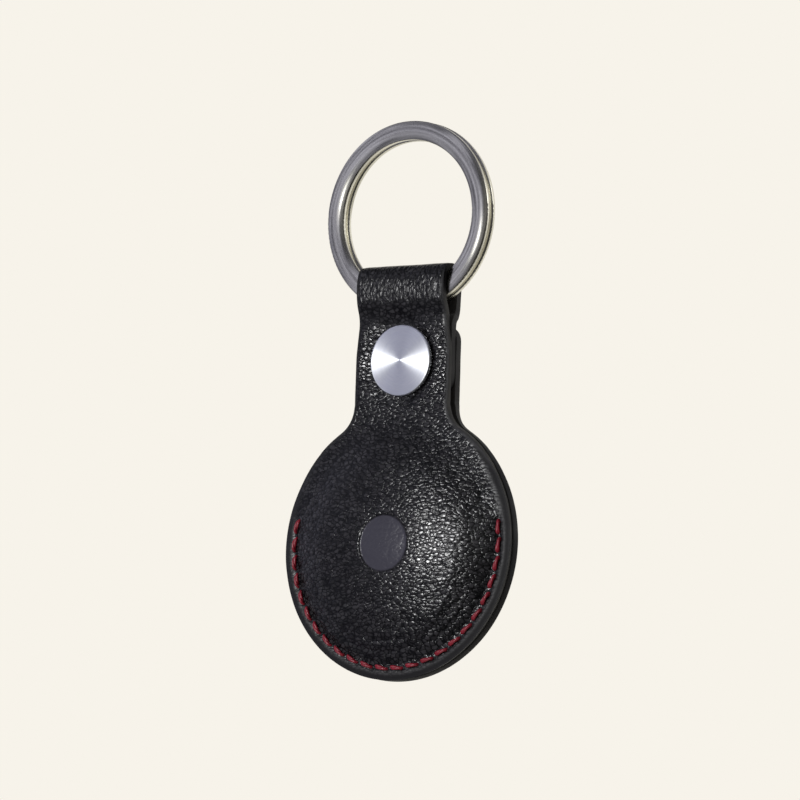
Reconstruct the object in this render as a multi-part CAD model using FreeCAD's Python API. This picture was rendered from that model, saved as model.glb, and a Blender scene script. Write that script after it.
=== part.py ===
import FreeCAD, Part
import math
import os

# Tracker tag holder: a leather pouch that hangs from a split key ring, with a snap at its neck.
# Millimetres. The part is drawn about the middle of the round body: +X right, front -Y, +Z up to the ring.
# It is then moved down so that the origin is the hang point, at the top of the ring's inside.

# Coin tag inside the pocket
battery_radius = 10.0
battery_height = 2.5
battery_lid_share = 0.85
battery_lid_step = 0.3
cell_headroom = 1.4
tray_wall = 1.5
tray_floor = 0.5
tray_rise = 1.9
tray_gap = 0.1
board_inset = 0.4
board_thickness = 0.8
speaker_radius = 4.0
speaker_height = 1.3
tag_cover_margin = 0.8
tag_cover_thickness = 0.4
tag_cover_gap = 0.08
tag_rim = 3.1
tag_wall = 0.8
tag_clearance = 0.1

# Leather body
leather = 1.2
lining = 0.25
lining_inset = 0.6
seam_width = 5.5
crown_radius = 70.0
shoulder_inset = 2.3
shoulder_radius = 3.9
foot_radius = 1.1
wall_slope = math.radians(50)
badge_radius = 4.4
badge_depth = 0.2

# Stitching
stitch_count = 24
stitch_pitch = 2.87
stitch_lead = 0.75
stitch_inset = 1.9
stitch_span = 1.6
stitch_slant = 8
thread = 0.7
thread_sink = 0.1

# Snap fastener
snap_above_body = 7.9
fit = 0.05
cap_radius = 5.6
cap_height = 0.6
cap_crown = 0.12
cap_round = 0.3
tube_wall = 0.4
tube_depth = 1.1
flare_width = 0.5
flare_thickness = 0.2
socket_plate = 0.2
socket_wall = 0.25
socket_lip = 0.3
socket_margin = 1.1
spring_wire = 0.5
spring_rest = 0.02
spring_margin = 0.4
stud_bulb_radius = 1.75
stud_bulb_length = 0.7
stud_bulb_round = 0.2
stud_undercut = 0.35
stud_wall = 0.25
stud_tip = 0.3
stud_base_radius = 3.5
stud_base = 0.3
tube_clearance = 0.25
mouth_clearance = 0.55
post_radius = 4.0
post_height = 0.5
post_round = 0.3

# Neck, strap and flap
neck_half = 8.6
neck_fillet = 5.0
strap_half = 8.1
taper_length = 5.0
layer_gap = 0.05
tail_reach = 6.0
tail_inset = 0.3
tail_corner = 3.0
bend_margin = 0.5
loop_leather = 1.15
flap_gap = 0.8
flap_corner = 3.2
flap_step_length = 5.0
flap_step_margin = 0.4
flap_line_margin = 1.2

# Key ring
ring_inner = 12.0
ring_width = 3.0
ring_turn = 1.4
ring_gap = 0.1
ring_arch = 3.4
ring_round = 0.3
ring_drop = 1.55
ring_side_clearance = 0.08
ring_fold_clearance = 0.15
fold_ease = 0.4
ring_slope_rise = 0.25
ring_step = 9
ring_step_shares = (0.0, 0.12, 0.5, 0.88, 1.0)

# Sizes that follow from those above, from the tag outwards
tray_radius = battery_radius + tray_gap + tray_wall
tag_cover_radius = tray_radius + tag_cover_margin
tag_radius = tag_cover_radius + tag_rim
tag_half = battery_height + cell_headroom
body_radius = tag_radius + seam_width
flange_half = leather + lining
pocket_wall = flange_half + tag_clearance
dome_apex = tag_half + pocket_wall
shoulder_start = tag_radius - shoulder_inset

stitch_radius = body_radius - stitch_inset
first_stitch = stitch_pitch / stitch_radius * (1 - stitch_count) / 2
seam_turn = stitch_lead / stitch_radius
last_stitch = seam_turn - first_stitch
stitch_end = stitch_span / 2 * math.sin(last_stitch) - stitch_radius * math.cos(last_stitch) + thread / 2
flap_line = stitch_end + flap_line_margin

snap_height = body_radius + snap_above_body
tube_hollow = stud_bulb_radius + tube_clearance
tube_radius = tube_hollow + tube_wall
socket_radius = tube_radius + flare_width + socket_margin
chamber_radius = socket_radius - socket_wall
socket_mouth = stud_bulb_radius + mouth_clearance
stud_neck_radius = stud_bulb_radius - stud_undercut
stud_bore_radius = stud_neck_radius - stud_wall
chamber_floor = socket_plate - lining
chamber_roof = chamber_floor + flare_thickness + spring_wire + 2 * spring_rest

bend_height = snap_height + cap_radius + bend_margin
taper_start = bend_height - taper_length
tail_front = layer_gap - lining
tail_back = chamber_roof + socket_lip
tail_end = snap_height - tail_reach
flap_front = tail_back + layer_gap
flap_back = flap_front + leather
flap_top = bend_height - flap_gap

ring_outer = ring_inner + ring_width
ring_half_depth = ring_turn + ring_gap / 2
ring_half_width = ring_width / 2
ring_lean = math.asin((ring_half_width - ring_round) / (ring_arch - ring_round))
ring_corner = ring_arch - (ring_arch - ring_round) * math.cos(ring_lean)
ring_centre = bend_height + ring_drop + ring_outer
hang_height = ring_centre + ring_inner
loop_inside_corner = ring_round + fold_ease
reach = 4 * body_radius
UP = FreeCAD.Vector(0, 0, 1)
BACKWARD = FreeCAD.Vector(0, 1, 0)
RIGHT = FreeCAD.Vector(1, 0, 0)
CENTRE = FreeCAD.Vector(0, 0, 0)
SNAP = FreeCAD.Vector(0, 0, snap_height)
FRONT = -1
BACK = 1


def in_side(y, z):
    """A point of the middle plane, seen from the side."""
    return FreeCAD.Vector(0, y, z)


def in_front(x, z):
    """A point of the seam plane, seen from the front."""
    return FreeCAD.Vector(x, 0, z)


def line(a, b):
    return Part.makeLine(a, b)


def arc(a, middle, b):
    return Part.Arc(a, middle, b).toShape()


def face_of(edges):
    return Part.Face(Part.Wire(Part.__sortEdges__(edges)))


def path(points):
    """Straight edges through the points and back to the first."""
    return [line(a, b) for a, b in zip(points, points[1:] + points[:1])]


def round_about(centre, radius, low, high):
    """A cylinder along Y between two depths."""
    base = centre + BACKWARD * low
    return Part.makeCylinder(radius, high - low, base, BACKWARD)


def turned(points, centre=CENTRE):
    """A solid turned about Y from (radius, depth) points."""
    profile = [FreeCAD.Vector(r, y, 0) for r, y in points]
    solid = Part.Face(Part.Wire(path(profile))).revolve(CENTRE, BACKWARD, 360)
    solid.translate(centre)
    return solid


def slab(low, high):
    """All the space between two heights."""
    corner = FreeCAD.Vector(-reach, -reach, low)
    return Part.makeBox(2 * reach, 2 * reach, high - low, corner)


# Dome: crown arc, shoulder arc, straight wall and foot arc, all tangent


def dome_centres():
    """The middles of the crown, shoulder and foot arcs, as (radius, depth)."""
    lean = math.asin(shoulder_start / crown_radius)
    crown = (0, dome_apex - crown_radius)
    from_crown = crown_radius - shoulder_radius
    shoulder = (from_crown * math.sin(lean), crown[1] + from_crown * math.cos(lean))
    wall_high = shoulder[1] + shoulder_radius * math.cos(wall_slope)
    wall_out = shoulder[0] + shoulder_radius * math.sin(wall_slope)
    wall_low = flange_half + foot_radius * (1 - math.cos(wall_slope))
    run = (wall_high - wall_low) / math.tan(wall_slope)
    foot = (wall_out + run + foot_radius * math.sin(wall_slope), flange_half + foot_radius)
    return lean, crown, shoulder, foot


def swung(centre, radius, angle):
    return (centre[0] + radius * math.sin(angle), centre[1] + radius * math.cos(angle))


def dome_edges(depth, side):
    """The dome's half profile at a depth below its outer surface, with its two end points."""
    lean, crown, shoulder, foot = dome_centres()
    crown_r = crown_radius - depth
    shoulder_r = shoulder_radius - depth
    foot_r = -(foot_radius + depth)
    stations = [
        swung(crown, crown_r, 0),
        swung(crown, crown_r, lean / 2),
        swung(crown, crown_r, lean),
        swung(shoulder, shoulder_r, (lean + wall_slope) / 2),
        swung(shoulder, shoulder_r, wall_slope),
        swung(foot, foot_r, wall_slope),
        swung(foot, foot_r, wall_slope / 2),
        swung(foot, foot_r, 0),
    ]
    p = [FreeCAD.Vector(r, side * y, 0) for r, y in stations]
    edges = [arc(p[0], p[1], p[2]), arc(p[2], p[3], p[4]), line(p[4], p[5]), arc(p[5], p[6], p[7])]
    return edges, p[0], p[7]


def dome_shell(outer, inner, side):
    """The part of a dome between two depths."""
    top, top_apex, top_foot = dome_edges(outer, side)
    under, under_apex, under_foot = dome_edges(inner, side)
    edges = top + under + [line(top_apex, under_apex), line(top_foot, under_foot)]
    return face_of(edges).revolve(CENTRE, BACKWARD, 360)


def dome_fill(depth, side):
    """Everything under a dome at a depth, past the seam plane."""
    edges, apex, foot = dome_edges(depth, side)
    middle = FreeCAD.Vector(0, -side * dome_apex, 0)
    rim = FreeCAD.Vector(foot.x, -side * dome_apex, 0)
    edges = edges + [line(apex, middle), line(middle, rim), line(rim, foot)]
    return face_of(edges).revolve(CENTRE, BACKWARD, 360)


def foot_hole(low, high):
    foot = dome_centres()[3]
    return round_about(CENTRE, foot[0], low, high)


# Outlines seen from the front


def mirrored(edges):
    return [e.mirror(CENTRE, RIGHT) for e in edges]


def shoulder_edges():
    """The right-hand fillet between the round body and the neck, and where it ends."""
    across = neck_half + neck_fillet
    far = body_radius + neck_fillet
    high = math.sqrt(far * far - across * across)
    on_body = in_front(across * body_radius / far, high * body_radius / far)
    on_neck = in_front(neck_half, high)
    middle = in_front(across, high)
    inward = ((on_body - middle) + (on_neck - middle)).normalize()
    return arc(on_body, middle + inward * neck_fillet, on_neck), on_body, on_neck


def outline(neck_edges, on_neck_top):
    """The round body with a neck, closed across the neck's top."""
    fillet, on_body, on_neck = shoulder_edges()
    left_body = in_front(-on_body.x, on_body.z)
    left_top = in_front(-on_neck_top.x, on_neck_top.z)
    half = [fillet] + neck_edges(on_neck)
    bottom = arc(on_body, in_front(0, -body_radius), left_body)
    return face_of(half + mirrored(half) + [bottom, line(on_neck_top, left_top)])


def front_neck(start):
    taper = in_front(neck_half, taper_start)
    return [line(start, taper), line(taper, in_front(strap_half, bend_height))]


def corner(x, z, radius):
    """A quarter round at the top right, from the side up to the top."""
    middle = in_front(x - radius, z - radius)
    slant = in_front(radius, radius) * (1 / math.sqrt(2))
    return arc(in_front(x, z - radius), middle + slant, in_front(x - radius, z))


def back_neck(start):
    side_top = in_front(neck_half, flap_top - flap_corner)
    return [line(start, side_top), corner(neck_half, flap_top, flap_corner)]


def plate(face, low, high):
    moved = face.copy()
    moved.translate(BACKWARD * low)
    return moved.extrude(BACKWARD * (high - low))


# Leather pieces


def front_panel():
    face = outline(front_neck, in_front(strap_half, bend_height))
    flat = plate(face, -flange_half, -lining).cut(foot_hole(-flange_half, -lining))
    panel = flat.fuse(dome_shell(0, leather, FRONT))
    sunk = dome_shell(0, badge_depth, FRONT).common(round_about(CENTRE, badge_radius, -reach, 0))
    hole = round_about(SNAP, tube_radius + fit, -reach, reach)
    return panel.cut(sunk).cut(hole).removeSplitter()


def back_leather():
    """The whole back panel, before it is parted at the flap line."""
    step_top = tail_end - flap_step_margin
    step_low = step_top - flap_step_length
    front_side = [(lining, -reach), (lining, step_low), (flap_front, step_top), (flap_front, reach)]
    rear_side = [(flap_back, reach), (flap_back, step_top), (flange_half, step_low), (flange_half, -reach)]
    points = [in_side(y, z) for y, z in front_side + rear_side]
    band = Part.Face(Part.Wire(path(points))).extrude(RIGHT * (2 * reach))
    band.translate(RIGHT * -reach)
    face = outline(back_neck, in_front(neck_half - flap_corner, flap_top))
    flat = band.common(plate(face, 0, reach)).cut(foot_hole(0, reach))
    return flat.fuse(dome_shell(0, leather, BACK)).removeSplitter()


def back_panel():
    return back_leather().common(slab(-reach, flap_line))


def back_flap():
    flap = back_leather().common(slab(flap_line, reach))
    seat = round_about(SNAP, stud_base_radius + fit, 0, flap_front + stud_base)
    hole = round_about(SNAP, stud_bore_radius, 0, reach)
    return flap.cut(seat).cut(hole)


def strap_loop():
    """The strap folded over the ring's lower wire, from the front layer round to the tail."""
    inside = ring_half_depth + ring_side_clearance
    outside = inside + loop_leather
    drop = math.sqrt(ring_inner * ring_inner - strap_half * strap_half)
    inside_top = ring_centre - drop + ring_fold_clearance
    slope_top = bend_height + ring_drop + ring_slope_rise
    outer_corner = loop_inside_corner + loop_leather
    edges = fold_edges(outside, inside_top + loop_leather, outer_corner, slope_top)
    edges += fold_edges(inside, inside_top, loop_inside_corner, slope_top)
    edges.append(line(in_side(-flange_half, bend_height), in_side(-outside, slope_top)))
    edges.append(line(in_side(tail_back, bend_height), in_side(outside, slope_top)))
    edges.append(line(in_side(-lining, bend_height), in_side(-inside, slope_top)))
    edges.append(line(in_side(tail_front, bend_height), in_side(inside, slope_top)))
    edges.append(line(in_side(-flange_half, bend_height), in_side(-lining, bend_height)))
    edges.append(line(in_side(tail_back, bend_height), in_side(tail_front, bend_height)))
    loop = face_of(edges).extrude(RIGHT * (2 * strap_half))
    loop.translate(RIGHT * -strap_half)
    return loop


def fold_edges(half, top, radius, low):
    """Up one side, over the rounded top and down the other side."""
    slant = radius / math.sqrt(2)
    edges = []
    for side in (FRONT, BACK):
        rise = in_side(side * half, top - radius)
        crest = in_side(side * (half - radius), top)
        middle = in_side(side * (half - radius + slant), top - radius + slant)
        edges += [line(in_side(side * half, low), rise), arc(rise, middle, crest)]
    edges.append(line(in_side(radius - half, top), in_side(half - radius, top)))
    return edges


def strap_tail():
    side = neck_half - tail_inset
    start = in_front(strap_half, bend_height)
    taper = in_front(side, taper_start)
    low = in_front(side, tail_end + tail_corner)
    end = in_front(side - tail_corner, tail_end)
    slant = in_front(1, -1) * (tail_corner / math.sqrt(2))
    middle = in_front(side - tail_corner, tail_end + tail_corner) + slant
    half = [line(start, taper), line(taper, low), arc(low, middle, end)]
    across = [line(end, in_front(-end.x, end.z)), line(start, in_front(-start.x, start.z))]
    tail = plate(face_of(half + mirrored(half) + across), tail_front, tail_back)
    return tail.cut(round_about(SNAP, socket_radius + fit, -reach, reach))


def lining_layer(side):
    low, high = sorted((0, side * lining))
    flat = round_about(CENTRE, body_radius - lining_inset, low, high).cut(foot_hole(low, high))
    return flat.fuse(dome_shell(leather, flange_half, side)).removeSplitter()


def back_lining():
    return lining_layer(BACK).common(slab(-reach, flap_line))


def flap_lining():
    return lining_layer(BACK).common(slab(flap_line, reach))


# Stitching


def stitches(side):
    """One thread's stitches round the lower seam: each a bar on the leather with two legs down to the seam."""
    level = side * (flange_half + thread / 2 - thread_sink)
    half = stitch_span / 2
    left = FreeCAD.Vector(-half, level, 0)
    staple = Part.makeCylinder(thread / 2, stitch_span, left, RIGHT)
    for x in (-half, half):
        knee = FreeCAD.Vector(x, level, 0)
        staple = staple.fuse(Part.makeSphere(thread / 2, knee))
        staple = staple.fuse(Part.makeCylinder(thread / 2, abs(level), knee, BACKWARD * -side))
    staple = staple.removeSplitter()
    staple.rotate(CENTRE, BACKWARD, stitch_slant)
    staple.translate(UP * -stitch_radius)
    copies = []
    for i in range(stitch_count):
        copy = staple.copy()
        turn = seam_turn + first_stitch + i * stitch_pitch / stitch_radius
        copy.rotate(CENTRE, BACKWARD, math.degrees(turn))
        copies.append(copy)
    return Part.makeCompound(copies)


# Key ring


def ring_section(depth):
    """The wire's section at the ring's lowest point, with arched faces and rounded corners."""
    middle = ring_centre - ring_inner - ring_half_width
    high = middle + ring_half_width - ring_round
    low = middle - ring_half_width + ring_round
    near = depth + ring_corner
    far = depth + ring_turn - ring_corner
    side = math.pi / 2
    corners = [(far, high, ring_lean, side), (near, high, side, 2 * side - ring_lean)]
    corners += [(near, low, 2 * side + ring_lean, 3 * side), (far, low, 3 * side, 4 * side - ring_lean)]
    rounds = []
    for y, z, start, end in corners:
        turns = (start, (start + end) / 2, end)
        rounds.append([in_side(y + ring_round * math.cos(t), z + ring_round * math.sin(t)) for t in turns])
    edges = [arc(*points) for points in rounds]
    edges.insert(1, line(rounds[0][2], rounds[1][0]))
    edges.insert(3, arc(rounds[1][2], in_side(depth, middle), rounds[2][0]))
    edges.insert(5, line(rounds[2][2], rounds[3][0]))
    edges.append(arc(rounds[3][2], in_side(depth + ring_turn, middle), rounds[0][0]))
    return Part.Face(Part.Wire(edges))


def key_ring():
    """Two turns joined by a step, which the strap hides."""
    middle = FreeCAD.Vector(0, 0, ring_centre)
    front_depth = -ring_half_depth
    shift = ring_turn + ring_gap
    pieces = []
    for depth in (front_depth, front_depth + shift):
        section = ring_section(depth)
        section.rotate(middle, BACKWARD, ring_step)
        pieces.append(section.revolve(middle, BACKWARD, 360 - 2 * ring_step))
    wires = []
    for i, share in enumerate(ring_step_shares):
        section = ring_section(front_depth + shift * share)
        section.rotate(middle, BACKWARD, ring_step * (2 * i / (len(ring_step_shares) - 1) - 1))
        wires.append(section.OuterWire)
    crossing = Part.makeLoft(wires, True, True)
    return pieces[0].fuse(crossing).fuse(pieces[1])


# Snap fastener


def rounded(solid, radius, rim, depth):
    """The solid with its rim at one depth rounded off."""
    near = [e for e in solid.Edges if e.Curve.TypeId == "Part::GeomCircle"]
    near = [e for e in near if abs(e.Curve.Radius - rim) < radius and abs(e.Curve.Center.y - depth) < radius]
    return solid.makeFillet(radius, near)


def snap_cap():
    face = -flange_half - cap_height
    flare_end = chamber_floor + flare_thickness
    points = [
        (0, face),
        (cap_radius, face + cap_crown),
        (cap_radius, -flange_half),
        (tube_radius, -flange_half),
        (tube_radius, chamber_floor),
        (tube_radius + flare_width, chamber_floor),
        (tube_radius + flare_width, flare_end),
        (tube_hollow, flare_end),
        (tube_hollow, chamber_floor - tube_depth),
        (0, chamber_floor - tube_depth),
    ]
    return rounded(turned(points, SNAP), cap_round, cap_radius, face + cap_crown)


def snap_socket():
    points = [
        (tube_radius + fit, -lining),
        (socket_radius, -lining),
        (socket_radius, tail_back),
        (socket_mouth, tail_back),
        (socket_mouth, chamber_roof),
        (chamber_radius, chamber_roof),
        (chamber_radius, chamber_floor),
        (tube_radius + fit, chamber_floor),
    ]
    return turned(points, SNAP)


def snap_spring():
    """A hairpin of wire whose two legs close behind the stud's bulb."""
    depth = chamber_roof - spring_rest - spring_wire / 2
    off = stud_neck_radius + spring_rest + spring_wire / 2
    room = chamber_radius - spring_margin
    side = off + spring_wire / 2
    start = -math.sqrt(room * room - side * side)
    bend = room - side
    foot = SNAP + FreeCAD.Vector(start, depth, 0)
    middle = SNAP + FreeCAD.Vector(bend, depth, 0)
    legs = [Part.makeCylinder(spring_wire / 2, bend - start, foot + UP * z, RIGHT) for z in (-off, off)]
    wire = Part.Face(Part.Wire(Part.makeCircle(spring_wire / 2, middle + UP * off, RIGHT)))
    return legs[0].fuse(wire.revolve(middle, BACKWARD, 180)).fuse(legs[1])


def snap_stud():
    shoulder = flap_front + stud_base
    tip = chamber_floor - stud_bulb_length
    points = [
        (stud_bore_radius, shoulder),
        (stud_base_radius, shoulder),
        (stud_base_radius, flap_front),
        (stud_neck_radius, flap_front),
        (stud_neck_radius, chamber_floor),
        (stud_bulb_radius, chamber_floor - stud_bulb_round),
        (stud_bulb_radius, tip + stud_bulb_round),
        (stud_bulb_radius - stud_bulb_round, tip),
        (0, tip),
        (0, tip + stud_tip),
        (stud_bore_radius, tip + stud_tip),
    ]
    return turned(points, SNAP)


def snap_post():
    shank = stud_bore_radius - fit
    end = chamber_floor - stud_bulb_length + stud_tip + fit
    rear = flap_back + post_height
    points = [
        (0, end),
        (shank, end),
        (shank, flap_back),
        (post_radius, flap_back),
        (post_radius, rear),
        (0, rear),
    ]
    return rounded(turned(points, SNAP), post_round, post_radius, rear)


# Tag


def tag_form(depth, side):
    """The tag's half under a depth, cut square at its rim."""
    low, high = sorted((0, side * reach))
    return dome_fill(depth, side).common(round_about(CENTRE, tag_radius + pocket_wall - depth, low, high))


def tag_front_cover():
    return tag_form(pocket_wall, FRONT).cut(tag_form(pocket_wall + tag_wall, FRONT))


def tag_back_case():
    ring = tag_form(pocket_wall, BACK).cut(tag_form(pocket_wall + tag_wall, BACK))
    return ring.cut(round_about(CENTRE, tag_cover_radius + tag_cover_gap, 0, reach))


def tag_battery_cover():
    lid = tag_form(pocket_wall, BACK).cut(tag_form(pocket_wall + tag_cover_thickness, BACK))
    return lid.common(round_about(CENTRE, tag_cover_radius, 0, reach))


def tag_battery():
    can = round_about(CENTRE, battery_radius, 0, battery_height - battery_lid_step)
    lid_radius = battery_radius * battery_lid_share
    return can.fuse(round_about(CENTRE, lid_radius, 0, battery_height)).removeSplitter()


def tag_tray():
    cup = round_about(CENTRE, tray_radius, -tray_gap / 2 - tray_floor, tray_rise)
    return cup.cut(round_about(CENTRE, battery_radius + tray_gap, -tray_gap / 2, tray_rise))


def tag_circuit_board():
    rear = -tray_gap / 2 - tray_floor
    return round_about(CENTRE, tray_radius - board_inset, rear - board_thickness, rear)


def tag_speaker():
    rear = -tray_gap / 2 - tray_floor - board_thickness
    return round_about(CENTRE, speaker_radius, rear - speaker_height, rear)


os.makedirs("parts", exist_ok=True)
pieces = {
    "key_ring": key_ring(),
    "strap_loop": strap_loop(),
    "front_panel": front_panel(),
    "strap_tail": strap_tail(),
    "front_lining": lining_layer(FRONT),
    "back_panel": back_panel(),
    "back_lining": back_lining(),
    "front_stitches": stitches(FRONT),
    "back_stitches": stitches(BACK),
    "snap_cap": snap_cap(),
    "snap_socket": snap_socket(),
    "snap_spring": snap_spring(),
    "back_flap": back_flap(),
    "flap_lining": flap_lining(),
    "snap_stud": snap_stud(),
    "snap_post": snap_post(),
    "tag_front_cover": tag_front_cover(),
    "tag_back_case": tag_back_case(),
    "tag_battery_cover": tag_battery_cover(),
    "tag_battery": tag_battery(),
    "tag_tray": tag_tray(),
    "tag_circuit_board": tag_circuit_board(),
    "tag_speaker": tag_speaker(),
}
for name, shape in pieces.items():
    shape.translate(UP * -hang_height)
    shape.exportStep("parts/" + name + ".step")
    print(name, len(shape.Solids), shape.isValid(), round(shape.Volume, 2))
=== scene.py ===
"""Looks of the tracker tag holder: a leather pouch with a snap, hung from a split ring.

Sizes are in millimetres about the middle of the round body: +X right, front -Y, +Z up to the ring.
in_frame() turns them into the model's own frame, in metres below the hang point.
A passage is a tuple for step_up() or graded(): where it starts, where it ends, the values there.
"""

import logging
import math
from collections.abc import Iterable
from dataclasses import dataclass, field, replace
from enum import Enum

import bmesh
import bpy
import numpy as np
from bpy.types import Material, Node, NodeSocket, NodeTree, Object
from mathutils import Matrix, Vector, noise
from mathutils.kdtree import KDTree


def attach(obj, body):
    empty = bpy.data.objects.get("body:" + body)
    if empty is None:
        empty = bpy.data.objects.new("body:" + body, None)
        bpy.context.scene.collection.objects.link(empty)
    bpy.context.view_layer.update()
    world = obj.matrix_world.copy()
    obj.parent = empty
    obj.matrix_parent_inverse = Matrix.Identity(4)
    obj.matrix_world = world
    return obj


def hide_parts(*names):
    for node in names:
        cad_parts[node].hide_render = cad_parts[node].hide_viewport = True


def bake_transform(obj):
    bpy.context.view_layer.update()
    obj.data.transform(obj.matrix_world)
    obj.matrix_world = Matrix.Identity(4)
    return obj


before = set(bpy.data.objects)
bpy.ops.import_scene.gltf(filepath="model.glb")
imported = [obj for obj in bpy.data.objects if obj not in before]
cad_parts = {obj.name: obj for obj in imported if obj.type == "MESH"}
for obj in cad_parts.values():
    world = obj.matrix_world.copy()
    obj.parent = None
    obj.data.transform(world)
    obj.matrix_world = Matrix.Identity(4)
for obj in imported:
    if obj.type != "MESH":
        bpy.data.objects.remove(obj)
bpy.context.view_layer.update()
log = logging.getLogger("tag_holder")

MM = 0.001
HANG = 63.55
RING_CENTRE = 51.55
SNAP = 28.9

Colour = tuple[float, float, float, float]


class Side(Enum):
    """The two faces of the pouch, as the sign of their depth."""

    FRONT = -1
    BACK = 1


class Way(Enum):
    """Which way a strap's end points, as the sign of its height."""

    UP = 1
    DOWN = -1


class Mixing(Enum):
    """What a Mix node mixes: its data type, its two inputs and its output."""

    COLOURS = ("RGBA", 6, 7, 2)
    NUMBERS = ("FLOAT", 2, 3, 0)


# Modelling tools


def in_frame(x: float, y: float, z: float) -> Vector:
    """A point in the model's frame, from millimetres right, back and up of the body's middle."""
    return Vector((x * MM, y * MM, (z - HANG) * MM))


def step_up(value: np.ndarray, low: float, high: float) -> np.ndarray:
    """A smooth rise from 0 at low to 1 at high, or a fall where high is the smaller."""
    share = np.clip((value - low) / (high - low), 0.0, 1.0)
    return share * share * (3.0 - 2.0 * share)


def grain_noise(points: np.ndarray, size: tuple[float, float, float]) -> np.ndarray:
    """Soft random heights from -1 to 1, with lumps of this size, in millimetres, on each axis."""
    scaled = points / np.array(size)
    return np.array([noise.noise(Vector(p)) for p in scaled])


def clear_selection() -> None:
    """Go to object mode with nothing selected."""
    if bpy.context.object is not None and bpy.context.object.mode != "OBJECT":
        bpy.ops.object.mode_set(mode="OBJECT")
    bpy.ops.object.select_all(action="DESELECT")


def work_on(obj: Object) -> None:
    """Make one object the only selected and active one.

    Args:
        obj: the object.
    """
    clear_selection()
    obj.select_set(True)
    bpy.context.view_layer.objects.active = obj


def settle(obj: Object) -> None:
    """Put an object's place, turn and scale into its mesh."""
    work_on(obj)
    bpy.ops.object.transform_apply(location=True, rotation=True, scale=True)


def into_scene(name: str, data: bpy.types.ID) -> Object:
    """Put a new object into the scene.

    Args:
        name: the object's name.
        data: its curve, lamp or camera.

    Returns:
        The object.
    """
    obj = bpy.data.objects.new(name, data)
    bpy.context.scene.collection.objects.link(obj)
    return obj


def modify(obj: Object, kind: str, **settings: object) -> None:
    """Add a modifier and apply it.

    Args:
        obj: the piece.
        kind: the modifier's type.
        settings: its values.
    """
    work_on(obj)
    made = obj.modifiers.new(kind.title(), kind)
    for name, value in settings.items():
        setattr(made, name, value)
    bpy.ops.object.modifier_apply(modifier=made.name)


def points_of(obj: Object) -> tuple[np.ndarray, np.ndarray]:
    """The points of a mesh about the body's middle, and its normals.

    Args:
        obj: the piece.

    Returns:
        Places in millimetres, and unit normals.
    """
    count = len(obj.data.vertices)
    places = np.zeros(count * 3)
    normals = np.zeros(count * 3)
    obj.data.vertices.foreach_get("co", places)
    obj.data.vertex_normals.foreach_get("vector", normals)
    places = places.reshape(-1, 3) / MM
    places[:, 2] += HANG
    return places, normals.reshape(-1, 3)


def put_points(obj: Object, places: np.ndarray) -> None:
    """Move a mesh's points.

    Args:
        obj: the piece.
        places: where they go, in millimetres about the body's middle.
    """
    moved = places.copy()
    moved[:, 2] -= HANG
    obj.data.vertices.foreach_set("co", (moved * MM).ravel())
    obj.data.update()


def dress(obj: Object, *materials: Material | None) -> None:
    """Give a piece its materials; faces keep the slots that they have.

    Args:
        obj: the piece.
        materials: the materials in slot order, or None for a slot that is filled later.
    """
    slots = obj.data.materials
    while len(slots) < len(materials):
        slots.append(None)
    for i, material in enumerate(materials):
        slots[i] = material


# Node trees


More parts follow.
